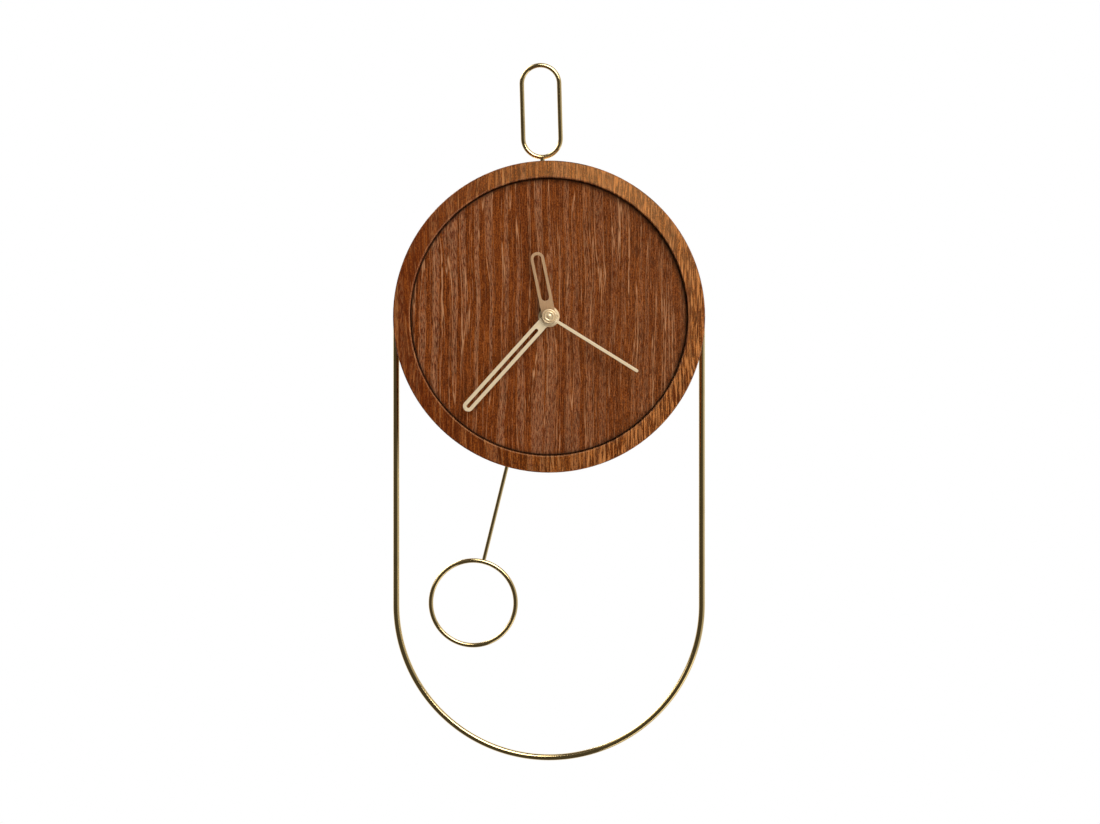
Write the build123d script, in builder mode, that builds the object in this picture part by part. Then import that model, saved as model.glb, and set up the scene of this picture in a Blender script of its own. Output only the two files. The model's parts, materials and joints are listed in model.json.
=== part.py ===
from build123d import *
from math import acos, cos, pi, radians, sin, tan
import os

# Pendulum wall clock in millimetres. The origin is the dial axis on the wall plane,
# +X is to the right, +Z is up and the dial faces -Y. "Out" is a distance from the wall.

# Case and dial
case_diameter = 200.0
rim_width = 10.9
rim_bevel = 2.2
rim_rounding = 0.8
dial_recess = 5.0
dial_thickness = 4.0
dial_edge_gap = 0.5
dial_ledge = 4.1
slot_clearance = 2.0

# Wire frame behind the case, with its welded tabs and screws
frame_wire = 4.0
frame_overhang = 1.0
frame_drop = 185.9
frame_wall_gap = 0.2
frame_seat_gap = 0.25
tab_angles = (-80.0, -35.0, 35.0, 80.0)
tab_width = 10.0
tab_length = 9.0
tab_thickness = 1.2
tab_sink = 0.6
tab_side_gap = 0.3
screw_shank = 2.5
screw_head = 4.8
screw_length = 11.0
screw_recess_length = 2.6
screw_recess_width = 0.6
screw_recess_depth = 0.7
head_taper = 45.0

# Hanging loop on top of the frame
loop_wire = 3.0
loop_width = 27.2
loop_length = 62.5
loop_foot_angle = -2.43
loop_lean = -1.5
loop_foot_height = 1.7

# Movement housing and battery
battery_diameter = 14.3
battery_length = 50.5
battery_nub_diameter = 5.5
battery_nub_length = 1.0
battery_side_gap = 0.6
battery_depth_gap = 0.2
contact_space = 1.25
contact_thickness = 0.5
contact_width = 9.0
contact_dimple = 4.0
housing_wall = 1.5
housing_rounding = 2.0
front_shell_depth = 8.5
chamber_rise = 26.5
chamber_floor_gap = 1.4
gasket_thickness = 0.5
gasket_diameter = 24.0

# Threaded bush, washer and nut that hold the movement to the dial
bush_diameter = 8.0
bush_stand = 0.5
washer_diameter = 13.4
washer_thickness = 0.8
nut_diameter = 12.0
nut_height = 2.2
nut_notch = 1.6
nut_rounding = 0.5

# Hands
hand_thickness = 0.7
hand_gap = 1.1
hour_angle = 348.5
hour_length = 42.0
hour_width = 8.9
hour_slot_width = 5.0
hour_slot_start = 10.3
minute_angle = 222.0
minute_length = 80.7
minute_width = 6.9
minute_slot_width = 2.2
minute_slot_start = 11.0
minute_base_diameter = 9.6
second_angle = 121.8
second_length = 67.0
second_width = 2.0
cap_diameter = 9.2
cap_height = 2.0
cap_groove_count = 2
cap_groove = 0.5
cap_groove_depth = 0.25

# Gear train
pressure_angle = 25.0
tooth_addendum = 0.8
tooth_dedendum = 1.05
tooth_play = 0.2
train_module = 0.2
rotor_module = 0.16
centre_wheel_teeth = 80
third_pinion_teeth = 10
third_wheel_teeth = 75
second_pinion_teeth = 10
second_wheel_teeth = 60
intermediate_pinion_teeth = 12
intermediate_wheel_teeth = 60
rotor_pinion_teeth = 10
centre_pinion_teeth = 15
minute_wheel_teeth = 45
minute_pinion_teeth = 12
hour_wheel_teeth = 48
setting_pinion_teeth = 15
third_direction = 250.0
intermediate_direction = 120.0
rotor_direction = 110.0
minute_wheel_direction = 45.0
setting_direction = 60.0
layer_count = 5
end_gap = 0.8
layer_gap = 0.6
wheel_inset = 0.3
arbor_radius = 0.6
arbor_gap = 0.4
pivot_radius = 0.35
pivot_depth = 1.0
second_arbor_radius = 0.5
minute_tube_radius = 1.5
hour_tube_radius = 2.5

# Stepping motor and electronics
magnet_radius = 2.6
magnet_height = 3.0
stator_gap = 0.5
stator_side = 0.9
stator_thickness = 1.0
stator_arm_width = 4.0
core_width = 3.2
core_thickness = 1.0
coil_radius = 3.3
coil_length = 15.0
coil_wall_gap = 1.5
coil_window_gap = 1.2
coil_arm_gap = 0.6
coil_lift = 2.0
post_radius = 1.2
board_width = 7.5
board_length = 26.0
board_thickness = 1.0
board_stand = 3.0
board_wall_gap = 0.6
board_train_gap = 1.8
crystal_diameter = 2.0
crystal_length = 6.2

# Time-setting knob
knob_diameter = 10.0
knob_height = 4.0
knob_cover_gap = 0.6
knob_shaft_radius = 1.0
knob_flutes = 18
knob_flute_radius = 0.5

# Pendulum
hanger_space = 14.5
pivot_height = 14.2
pendulum_length = 204.7
pendulum_gap = 6.5
swing_rest = 13.86
swing_limit = 16.0
ring_diameter = 57.8
ring_wire = 3.0
rod_diameter = 2.5
rod_top = 36.0
hanger_thickness = 4.0
hanger_width = 6.0
hanger_hub_radius = 4.0
hanger_length = 46.0
magnet_drop = 27.2
drive_magnet_radius = 3.6
drive_magnet_height = 3.2
drive_magnet_seat = 1.2
drive_magnet_wall = 1.4
drive_coil_radius = 3.5
drive_coil_bore = 1.2
drive_coil_height = 2.6
pivot_pin_radius = 1.0
pivot_boss_radius = 3.2
pivot_boss_height = 1.6
pivot_head_radius = 2.0
pivot_head_height = 1.0

# Fits, as gaps on the radius
running_gap = 0.06
press_gap = 0.02
bush_hole_gap = 0.15
stack_gap = 0.3

# Places measured out from the wall
movement_depth = housing_wall + battery_diameter + battery_depth_gap
movement_back = hanger_space
movement_front = movement_back + movement_depth
dial_back = movement_front + gasket_thickness
dial_front = dial_back + dial_thickness
case_depth = dial_front + dial_recess
split_out = movement_front - front_shell_depth
chamber_back = movement_back + housing_wall
chamber_front = movement_front - housing_wall
washer_front = dial_front + washer_thickness
nut_front = washer_front + nut_height
bush_front = nut_front + bush_stand
hour_hand_back = bush_front + hand_gap
minute_hand_back = hour_hand_back + hand_thickness + hand_gap
second_hand_back = minute_hand_back + hand_thickness + hand_gap
cap_back = second_hand_back + hand_thickness
pendulum_out = movement_back - pendulum_gap
hanger_back = pendulum_out - hanger_thickness / 2
hanger_front = pendulum_out + hanger_thickness / 2
frame_out = frame_wall_gap + frame_wire / 2

# Radii and half sizes that follow
case_radius = case_diameter / 2
front_bore = case_radius - rim_width
rear_bore = front_bore - dial_ledge
frame_width = case_diameter + 2 * frame_overhang
frame_radius = frame_width / 2 - frame_wire / 2
seat_radius = frame_radius - frame_wire / 2 - frame_seat_gap
seat_depth = frame_out + frame_wire / 2 + frame_seat_gap
tab_inner = frame_radius - tab_length
screw_circle = tab_inner + screw_head / 2 + tab_side_gap
bush_radius = bush_diameter / 2
bush_bore = hour_tube_radius + running_gap
rod_radius = rod_diameter / 2
ring_radius = ring_diameter / 2 - ring_wire / 2
slot_half = (pivot_height + case_radius) * tan(radians(swing_limit)) + rod_radius + slot_clearance
slot_depth = pendulum_out + rod_radius + slot_clearance
bay_half = battery_length / 2 + contact_space
battery_out = chamber_front - battery_diameter / 2
swing = radians(swing_rest)


# Planes and simple forms


def facing(out, x=0.0, z=0.0, turn=0.0):
    """Plane parallel to the wall, facing the room, whose local +Y points to the clock angle turn."""
    angle = radians(turn)
    return Plane(origin=(x, -out, z), x_dir=(cos(angle), 0, -sin(angle)), z_dir=(0, -1, 0))


def polar(distance, direction, x=0.0, z=0.0):
    """Place at a distance in a clock direction from another place."""
    angle = radians(direction)
    return x + distance * sin(angle), z + distance * cos(angle)


def disc(out_from, out_to, radius, x=0.0, z=0.0, mode=Mode.ADD):
    """Round bar or bore square to the wall."""
    with BuildSketch(facing(out_from, x, z)) as section:
        Circle(radius)
    extrude(section.sketch, amount=out_to - out_from, mode=mode)


def block(out_from, out_to, left, right, bottom, top, mode=Mode.ADD):
    """Square-cornered block between two distances from the wall."""
    with BuildSketch(facing(out_from, (left + right) / 2, (bottom + top) / 2)) as section:
        Rectangle(right - left, top - bottom)
    extrude(section.sketch, amount=out_to - out_from, mode=mode)


def wire_oval(plane, bend_radius, straight, wire):
    """Closed oval of round wire whose upper half circle is centred on the plane's origin."""
    for side, height in ((1, 0.0), (-1, -straight)):
        start = plane.from_local_coords((side * bend_radius, height, 0))
        middle = plane.from_local_coords((0, height, 0))
        with BuildSketch(Plane(origin=start, z_dir=plane.y_dir)) as section:
            Circle(wire / 2)
        revolve(section.sketch, Axis(middle, plane.z_dir), 180)
        extrude(section.sketch, amount=straight, dir=plane.y_dir * -side)


# Gears


def involute(angle):
    """Involute function of a pressure angle in radians."""
    return tan(angle) - angle


def tip_radius(teeth, module):
    """Outer radius of a gear."""
    return module * (teeth / 2 + tooth_addendum)


def root_radius(teeth, module):
    """Radius at the bottom of a gear's teeth."""
    return module * (teeth / 2 - tooth_dedendum)


def tooth_corners(teeth, module):
    """Outline of a gear with one tooth on local +Y: each tooth has two root and two tip corners."""
    base = teeth * module / 2 * cos(radians(pressure_angle))
    half_pitch = (1 - tooth_play) * pi / (2 * teeth) + involute(radians(pressure_angle))
    root = root_radius(teeth, module)
    tip = tip_radius(teeth, module)
    root_half = half_pitch - involute(acos(min(1.0, base / root)))
    tip_half = half_pitch - involute(acos(base / tip))
    corners = []
    for tooth in range(teeth):
        middle = 2 * pi * tooth / teeth
        for radius, half in ((root, -root_half), (tip, -tip_half), (tip, tip_half), (root, root_half)):
            corners.append((radius * sin(middle + half), radius * cos(middle + half)))
    return corners


def gear(out_from, out_to, teeth, module, x, z, phase):
    """Gear square to the wall with a tooth at the clock angle phase."""
    with BuildSketch(facing(out_from, x, z, phase)) as section:
        with BuildLine():
            Polyline(*tooth_corners(teeth, module), close=True)
        make_face()
    extrude(section.sketch, amount=out_to - out_from)


def meshing_phase(teeth_a, phase_a, teeth_b, direction):
    """Phase of gear B, which lies in a clock direction from gear A, with its teeth in A's spaces."""
    share = (direction - phase_a) * teeth_a / 360
    return direction + 180 - (0.5 - share) * 360 / teeth_b


pinion_face = (chamber_front - chamber_back - 2 * end_gap - (layer_count - 1) * layer_gap) / layer_count


def layer(number):
    """Back of a layer of the train, counted from the back of the movement."""
    return chamber_back + end_gap + number * (pinion_face + layer_gap)


def pinion(number, teeth, module, x, z, phase):
    """Pinion as wide as its layer."""
    gear(layer(number), layer(number) + pinion_face, teeth, module, x, z, phase)


def wheel(number, teeth, module, x, z, phase):
    """Wheel thinner than the pinion that it meets."""
    back = layer(number) + wheel_inset
    gear(back, back + pinion_face - 2 * wheel_inset, teeth, module, x, z, phase)


def arbor(x, z):
    """Arbor between the two plates of the housing with a thin pivot at each end."""
    disc(chamber_back + stack_gap, chamber_front - stack_gap, arbor_radius, x, z)
    pivot_reach = pivot_depth - stack_gap
    disc(chamber_back - pivot_reach, chamber_front + pivot_reach, pivot_radius, x, z)


third_distance = train_module * (third_pinion_teeth + centre_wheel_teeth) / 2
second_module = 2 * third_distance / (third_wheel_teeth + second_pinion_teeth)
outer_distance = tip_radius(centre_wheel_teeth, train_module) + arbor_radius + arbor_gap
first_module = 2 * outer_distance / (intermediate_pinion_teeth + second_wheel_teeth)
motion_module = 2 * outer_distance / (centre_pinion_teeth + minute_wheel_teeth)
hour_module = 2 * outer_distance / (minute_pinion_teeth + hour_wheel_teeth)
rotor_distance = rotor_module * (rotor_pinion_teeth + intermediate_wheel_teeth) / 2
setting_distance = motion_module * (setting_pinion_teeth + minute_wheel_teeth) / 2

third_x, third_z = polar(third_distance, third_direction)
intermediate_x, intermediate_z = polar(outer_distance, intermediate_direction)
rotor_x, rotor_z = polar(rotor_distance, rotor_direction, intermediate_x, intermediate_z)
minute_wheel_x, minute_wheel_z = polar(outer_distance, minute_wheel_direction)
setting_x, setting_z = polar(setting_distance, setting_direction, minute_wheel_x, minute_wheel_z)

third_pinion_phase = meshing_phase(centre_wheel_teeth, 0.0, third_pinion_teeth, third_direction)
third_wheel_phase = meshing_phase(second_pinion_teeth, 0.0, third_wheel_teeth, third_direction)
intermediate_pinion_phase = meshing_phase(
    second_wheel_teeth, 0.0, intermediate_pinion_teeth, intermediate_direction
)
rotor_phase = meshing_phase(intermediate_wheel_teeth, 0.0, rotor_pinion_teeth, rotor_direction)
minute_wheel_phase = meshing_phase(centre_pinion_teeth, 0.0, minute_wheel_teeth, minute_wheel_direction)
minute_pinion_phase = meshing_phase(hour_wheel_teeth, 0.0, minute_pinion_teeth, minute_wheel_direction)
setting_phase = meshing_phase(
    minute_wheel_teeth, minute_wheel_phase, setting_pinion_teeth, setting_direction
)

# Motor and board beside the train, and the chamber and housing round all of them

stator_left = rotor_x - magnet_radius - stator_gap - stator_side
stator_window = rotor_x + magnet_radius + stator_gap + stator_side
stator_out = layer(2) + pinion_face / 2 - stator_thickness / 2
core_back = stator_out + stator_thickness
core_front = core_back + core_thickness
coil_x = stator_window + coil_window_gap + coil_radius
coil_z = rotor_z + coil_lift
coil_out = core_back + core_thickness / 2
arm_offset = coil_length / 2 + coil_arm_gap + stator_arm_width / 2
stator_reach = arm_offset + stator_arm_width / 2
board_right = third_x - tip_radius(third_wheel_teeth, second_module) - board_train_gap
board_x = board_right - board_width / 2
board_back = chamber_back + board_stand
board_post_offset = board_length / 2 - post_radius - stack_gap
drive_coil_z = pivot_height - magnet_drop

motor_half = coil_x + coil_radius + coil_wall_gap
board_half = board_width / 2 + board_wall_gap - board_x
chamber_half = max(bay_half, motor_half, board_half)
chamber_drop = max(stator_reach - coil_z, drive_coil_radius - drive_coil_z) + chamber_floor_gap
board_z = (chamber_rise - chamber_drop) / 2
housing_half = chamber_half + housing_wall
housing_top = chamber_rise + housing_wall
bay_top = -chamber_drop - housing_wall
bay_bottom = bay_top - battery_diameter - 2 * battery_side_gap
housing_bottom = bay_bottom - housing_wall
battery_height = (bay_top + bay_bottom) / 2

# Case ring: stepped bore for the dial, stepped back edge for the wire, a slot below for the pendulum

with BuildPart() as case_ring:
    with BuildSketch(Plane(origin=(0, 0, 0), x_dir=(1, 0, 0), z_dir=(0, 0, -1))) as ring_section:
        with BuildLine():
            Polyline(
                (rear_bore, 0),
                (seat_radius, 0),
                (seat_radius, seat_depth),
                (case_radius, seat_depth),
                (case_radius, case_depth - rim_bevel),
                (front_bore, case_depth),
                (front_bore, dial_back),
                (rear_bore, dial_back),
                close=True,
            )
        make_face()
        fillet(ring_section.vertices().sort_by(Axis.Y)[-2:], rim_rounding)
    revolve(axis=Axis.Y)
    block(0, slot_depth, -slot_half, slot_half, -case_diameter, 0, Mode.SUBTRACT)
    for angle in tab_angles:
        pocket_x, pocket_z = polar((tab_inner + case_radius) / 2, angle)
        with BuildSketch(facing(0, pocket_x, pocket_z, angle)):
            Rectangle(tab_width + 2 * tab_side_gap, case_radius - tab_inner + 2 * tab_side_gap)
        extrude(amount=tab_sink + tab_thickness, mode=Mode.SUBTRACT)
        hole_x, hole_z = polar(screw_circle, angle)
        hole_depth = tab_sink + screw_length + stack_gap
        disc(0, hole_depth, screw_shank / 2 + press_gap, hole_x, hole_z, Mode.SUBTRACT)
case_ring.part.label = "case_ring"

with BuildPart() as dial_panel:
    disc(dial_back, dial_front, front_bore - dial_edge_gap)
    disc(dial_back, dial_front, bush_radius + bush_hole_gap, mode=Mode.SUBTRACT)
dial_panel.part.label = "dial_panel"

# Wire frame, its tabs and screws, and the hanging loop

with BuildPart() as wire_frame:
    wire_oval(facing(frame_out), frame_radius, frame_drop, frame_wire)
wire_frame.part.label = "wire_frame"

with BuildPart() as frame_tabs:
    for angle in tab_angles:
        tab_x, tab_z = polar((tab_inner + frame_radius) / 2, angle)
        with BuildSketch(facing(tab_sink, tab_x, tab_z, angle)):
            Rectangle(tab_width, tab_length)
        extrude(amount=tab_thickness)
        hole_x, hole_z = polar(screw_circle, angle)
        with BuildSketch(facing(tab_sink, hole_x, hole_z)):
            Circle(screw_head / 2 + press_gap)
        extrude(amount=(screw_head - screw_shank) / 2, taper=head_taper, mode=Mode.SUBTRACT)
        tab_front = tab_sink + tab_thickness
        disc(tab_sink, tab_front, screw_shank / 2 + press_gap, hole_x, hole_z, Mode.SUBTRACT)
    add(wire_frame.part, mode=Mode.SUBTRACT)
frame_tabs.part.label = "frame_tabs"

with BuildPart() as tab_screws:
    for angle in tab_angles:
        screw_x, screw_z = polar(screw_circle, angle)
        with BuildSketch(facing(tab_sink, screw_x, screw_z)):
            Circle(screw_head / 2)
        extrude(amount=(screw_head - screw_shank) / 2, taper=head_taper)
        disc(tab_sink, tab_sink + screw_length, screw_shank / 2, screw_x, screw_z)
        with BuildSketch(facing(tab_sink, screw_x, screw_z, angle)):
            Rectangle(screw_recess_length, screw_recess_width)
            Rectangle(screw_recess_width, screw_recess_length)
        extrude(amount=screw_recess_depth, mode=Mode.SUBTRACT)
tab_screws.part.label = "tab_screws"

loop_bend = (loop_width - loop_wire) / 2
loop_straight = loop_length - loop_width
loop_foot_x, loop_foot_z = polar(frame_radius, loop_foot_angle)
loop_foot_length = frame_wire / 2 + loop_foot_height + loop_wire / 2
loop_x, loop_z = polar(loop_foot_length + loop_bend + loop_straight, loop_lean, loop_foot_x, loop_foot_z)

with BuildPart() as hanging_loop:
    wire_oval(facing(frame_out, loop_x, loop_z, loop_lean), loop_bend, loop_straight, loop_wire)
    loop_up = facing(frame_out, turn=loop_lean).y_dir
    with BuildSketch(Plane(origin=(loop_foot_x, -frame_out, loop_foot_z), z_dir=loop_up)):
        Circle(loop_wire / 2)
    extrude(amount=loop_foot_length)
    add(wire_frame.part, mode=Mode.SUBTRACT)
hanging_loop.part.label = "hanging_loop"

# Movement housing: a front shell and a rear cover, with the battery bay open to the back


def housing_outline(out_from, out_to):
    """Rounded box of the housing between two distances from the wall."""
    with BuildSketch(facing(out_from, 0, (housing_top + housing_bottom) / 2)) as section:
        RectangleRounded(2 * housing_half, housing_top - housing_bottom, housing_rounding)
    extrude(section.sketch, amount=out_to - out_from)


def chamber_cut(out_from, out_to):
    """Hollow that holds the train and the motor."""
    block(out_from, out_to, -chamber_half, chamber_half, -chamber_drop, chamber_rise, Mode.SUBTRACT)


def bay_cut(out_from, out_to):
    """Hollow that holds the battery and its contacts."""
    block(out_from, out_to, -bay_half, bay_half, bay_bottom, bay_top, Mode.SUBTRACT)


train_places = (
    (third_x, third_z),
    (intermediate_x, intermediate_z),
    (rotor_x, rotor_z),
    (minute_wheel_x, minute_wheel_z),
)

with BuildPart() as front_shell:
    housing_outline(split_out, movement_front)
    chamber_cut(split_out, chamber_front)
    bay_cut(split_out, chamber_front)
    for sign in (1, -1):
        disc(core_front, chamber_front, post_radius, coil_x, coil_z + sign * arm_offset)
    for place_x, place_z in train_places + ((setting_x, setting_z),):
        disc(
            chamber_front,
            chamber_front + pivot_depth,
            pivot_radius + running_gap,
            place_x,
            place_z,
            Mode.SUBTRACT,
        )
    disc(chamber_front, movement_front, bush_radius + press_gap, mode=Mode.SUBTRACT)
front_shell.part.label = "front_shell"

with BuildPart() as rear_cover:
    housing_outline(movement_back, split_out)
    chamber_cut(chamber_back, split_out)
    bay_cut(movement_back, split_out)
    disc(movement_back - pivot_boss_height, movement_back, pivot_boss_radius, 0, pivot_height)
    disc(
        movement_back - pivot_boss_height,
        chamber_back - stack_gap,
        pivot_pin_radius + press_gap,
        0,
        pivot_height,
        Mode.SUBTRACT,
    )
    for sign in (1, -1):
        disc(chamber_back, board_back, post_radius, board_x, board_z + sign * board_post_offset)
    for place_x, place_z in train_places + ((0.0, 0.0),):
        disc(
            chamber_back - pivot_depth,
            chamber_back,
            pivot_radius + running_gap,
            place_x,
            place_z,
            Mode.SUBTRACT,
        )
    knob_bore = knob_shaft_radius + running_gap
    disc(movement_back, chamber_back, knob_bore, setting_x, setting_z, Mode.SUBTRACT)
rear_cover.part.label = "rear_cover"

with BuildPart() as dial_gasket:
    disc(movement_front, dial_back, gasket_diameter / 2)
    disc(movement_front, dial_back, bush_radius + bush_hole_gap, mode=Mode.SUBTRACT)
dial_gasket.part.label = "dial_gasket"

with BuildPart() as threaded_bush:
    disc(chamber_front, bush_front, bush_radius)
    disc(chamber_front, bush_front, bush_bore, mode=Mode.SUBTRACT)
threaded_bush.part.label = "threaded_bush"

with BuildPart() as nut_washer:
    disc(dial_front, washer_front, washer_diameter / 2)
    disc(dial_front, washer_front, bush_radius + bush_hole_gap, mode=Mode.SUBTRACT)
nut_washer.part.label = "nut_washer"

with BuildPart() as fixing_nut:
    disc(washer_front, nut_front, nut_diameter / 2)
    fillet(fixing_nut.edges().sort_by(Axis.Y)[0], nut_rounding)
    disc(washer_front, nut_front, bush_radius + press_gap, mode=Mode.SUBTRACT)
    notch_back = nut_front - nut_notch
    notch_half = nut_notch / 2
    block(notch_back, nut_front, -nut_diameter, nut_diameter, -notch_half, notch_half, Mode.SUBTRACT)
fixing_nut.part.label = "fixing_nut"

# Battery and its contacts

with BuildPart() as battery:
    with BuildSketch(Plane.YZ.offset(-battery_length / 2)):
        with Locations((-battery_out, battery_height)):
            Circle(battery_diameter / 2)
    extrude(amount=battery_length - battery_nub_length)
    with BuildSketch(Plane.YZ.offset(battery_length / 2 - battery_nub_length)):
        with Locations((-battery_out, battery_height)):
            Circle(battery_nub_diameter / 2)
    extrude(amount=battery_nub_length)
battery.part.label = "battery"

with BuildPart() as battery_contacts:
    for sign in (1, -1):
        with BuildSketch(Plane.YZ.offset(sign * bay_half)):
            with Locations((-battery_out, battery_height)):
                Rectangle(contact_width, contact_width)
        extrude(amount=-sign * contact_thickness)
        with BuildSketch(Plane.YZ.offset(sign * bay_half)):
            with Locations((-battery_out, battery_height)):
                Circle(contact_dimple / 2)
        extrude(amount=-sign * contact_space)
battery_contacts.part.label = "battery_contacts"

# Second train: arbor through both tubes, wheel driven by the motor, pinion that drives the third wheel

with BuildPart() as second_wheel:
    wheel(0, second_wheel_teeth, first_module, 0, 0, 0)
    pinion(1, second_pinion_teeth, second_module, 0, 0, 0)
    disc(chamber_back + stack_gap, layer(1), arbor_radius)
    disc(layer(1), cap_back + cap_height - stack_gap, second_arbor_radius)
    disc(chamber_back - pivot_depth + stack_gap, chamber_back + stack_gap, pivot_radius)
second_wheel.part.label = "second_wheel"

with BuildPart() as third_wheel:
    wheel(1, third_wheel_teeth, second_module, third_x, third_z, third_wheel_phase)
    pinion(2, third_pinion_teeth, train_module, third_x, third_z, third_pinion_phase)
    arbor(third_x, third_z)
third_wheel.part.label = "third_wheel"

with BuildPart() as centre_wheel:
    wheel(2, centre_wheel_teeth, train_module, 0, 0, 0)
    pinion(3, centre_pinion_teeth, motion_module, 0, 0, 0)
    minute_tube_front = minute_hand_back + hand_thickness
    disc(layer(2), minute_tube_front, minute_tube_radius)
    disc(layer(2), minute_tube_front, second_arbor_radius + running_gap, mode=Mode.SUBTRACT)
centre_wheel.part.label = "centre_wheel"

with BuildPart() as minute_wheel:
    wheel(3, minute_wheel_teeth, motion_module, minute_wheel_x, minute_wheel_z, minute_wheel_phase)
    pinion(4, minute_pinion_teeth, hour_module, minute_wheel_x, minute_wheel_z, minute_pinion_phase)
    arbor(minute_wheel_x, minute_wheel_z)
minute_wheel.part.label = "minute_wheel"

with BuildPart() as hour_wheel:
    wheel(4, hour_wheel_teeth, hour_module, 0, 0, 0)
    hour_tube_front = hour_hand_back + hand_thickness
    disc(layer(4), hour_tube_front, hour_tube_radius)
    disc(layer(4), hour_tube_front, minute_tube_radius + running_gap, mode=Mode.SUBTRACT)
hour_wheel.part.label = "hour_wheel"

with BuildPart() as intermediate_wheel:
    pinion(
        0,
        intermediate_pinion_teeth,
        first_module,
        intermediate_x,
        intermediate_z,
        intermediate_pinion_phase,
    )
    wheel(1, intermediate_wheel_teeth, rotor_module, intermediate_x, intermediate_z, 0)
    arbor(intermediate_x, intermediate_z)
intermediate_wheel.part.label = "intermediate_wheel"

# Stepping motor

magnet_back = stator_out + stator_thickness / 2 - magnet_height / 2
magnet_front = magnet_back + magnet_height

with BuildPart() as rotor_pinion:
    pinion(1, rotor_pinion_teeth, rotor_module, rotor_x, rotor_z, rotor_phase)
    arbor(rotor_x, rotor_z)
rotor_pinion.part.label = "rotor_pinion"

with BuildPart() as rotor_magnet:
    disc(magnet_back, magnet_front, magnet_radius, rotor_x, rotor_z)
    disc(magnet_back, magnet_front, arbor_radius + press_gap, rotor_x, rotor_z, Mode.SUBTRACT)
rotor_magnet.part.label = "rotor_magnet"

with BuildPart() as motor_stator:
    block(
        stator_out,
        core_back,
        stator_left,
        coil_x + stator_arm_width / 2,
        coil_z - stator_reach,
        coil_z + stator_reach,
    )
    block(
        stator_out,
        core_back,
        stator_window,
        coil_x + stator_arm_width,
        coil_z - stator_reach + stator_arm_width,
        coil_z + stator_reach - stator_arm_width,
        Mode.SUBTRACT,
    )
    disc(stator_out, core_back, magnet_radius + stator_gap, rotor_x, rotor_z, Mode.SUBTRACT)
motor_stator.part.label = "motor_stator"

with BuildPart() as coil_core:
    block(
        core_back,
        core_front,
        coil_x - core_width / 2,
        coil_x + core_width / 2,
        coil_z - stator_reach,
        coil_z + stator_reach,
    )
coil_core.part.label = "coil_core"

with BuildPart() as motor_coil:
    with BuildSketch(Plane.XY.offset(coil_z - coil_length / 2)):
        with Locations((coil_x, -coil_out)):
            Circle(coil_radius)
            Rectangle(core_width + 2 * press_gap, core_thickness + 2 * press_gap, mode=Mode.SUBTRACT)
    extrude(amount=coil_length)
motor_coil.part.label = "motor_coil"

# Circuit board and crystal

with BuildPart() as circuit_board:
    block(
        board_back,
        board_back + board_thickness,
        board_x - board_width / 2,
        board_x + board_width / 2,
        board_z - board_length / 2,
        board_z + board_length / 2,
    )
circuit_board.part.label = "circuit_board"

with BuildPart() as quartz_crystal:
    with BuildSketch(Plane.XY.offset(board_z - crystal_length / 2)):
        with Locations((board_x, -(board_back + board_thickness + crystal_diameter / 2))):
            Circle(crystal_diameter / 2)
    extrude(amount=crystal_length)
quartz_crystal.part.label = "quartz_crystal"

with BuildPart() as pendulum_coil:
    disc(chamber_back, chamber_back + drive_coil_height, drive_coil_radius, 0, drive_coil_z)
    disc(chamber_back, chamber_back + drive_coil_height, drive_coil_bore, 0, drive_coil_z, Mode.SUBTRACT)
pendulum_coil.part.label = "pendulum_coil"

# Setting knob with its pinion

knob_front = movement_back - knob_cover_gap
knob_back = knob_front - knob_height

with BuildPart() as setting_knob:
    disc(knob_back, knob_front, knob_diameter / 2, setting_x, setting_z)
    with BuildSketch(facing(knob_back, setting_x, setting_z)):
        with PolarLocations(knob_diameter / 2, knob_flutes):
            Circle(knob_flute_radius)
    extrude(amount=knob_height, mode=Mode.SUBTRACT)
    disc(knob_front, layer(3), knob_shaft_radius, setting_x, setting_z)
    pinion(3, setting_pinion_teeth, motion_module, setting_x, setting_z, setting_phase)
    disc(layer(3), chamber_front - stack_gap, arbor_radius, setting_x, setting_z)
    disc(layer(3), chamber_front + pivot_depth - stack_gap, pivot_radius, setting_x, setting_z)
setting_knob.part.label = "setting_knob"

# Hands and the cap over them


def slotted_hand(back, turn, length, width, base_diameter, slot_width, slot_start, bore):
    """Flat hand with a round tip and a long slot that leaves an even border."""
    border = (width - slot_width) / 2
    slot_end = length - border
    with BuildSketch(facing(back, turn=turn)) as outline:
        with Locations((0, (length - width / 2) / 2)):
            Rectangle(width, length - width / 2)
        with Locations((0, length - width / 2)):
            Circle(width / 2)
        Circle(base_diameter / 2)
        with Locations((0, (slot_start + slot_end) / 2)):
            SlotOverall(slot_end - slot_start, slot_width, rotation=90, mode=Mode.SUBTRACT)
        Circle(bore, mode=Mode.SUBTRACT)
    extrude(outline.sketch, amount=hand_thickness)


with BuildPart() as hour_hand:
    slotted_hand(
        hour_hand_back,
        hour_angle,
        hour_length,
        hour_width,
        hour_width,
        hour_slot_width,
        hour_slot_start,
        hour_tube_radius + press_gap,
    )
hour_hand.part.label = "hour_hand"

with BuildPart() as minute_hand:
    slotted_hand(
        minute_hand_back,
        minute_angle,
        minute_length,
        minute_width,
        minute_base_diameter,
        minute_slot_width,
        minute_slot_start,
        minute_tube_radius + press_gap,
    )
minute_hand.part.label = "minute_hand"

with BuildPart() as second_hand:
    with BuildSketch(facing(second_hand_back, turn=second_angle)):
        with Locations((0, (second_length - second_width / 2) / 2)):
            Rectangle(second_width, second_length - second_width / 2)
        with Locations((0, second_length - second_width / 2)):
            Circle(second_width / 2)
        Circle(cap_diameter / 2)
        Circle(second_arbor_radius + press_gap, mode=Mode.SUBTRACT)
    extrude(amount=hand_thickness)
second_hand.part.label = "second_hand"

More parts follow.
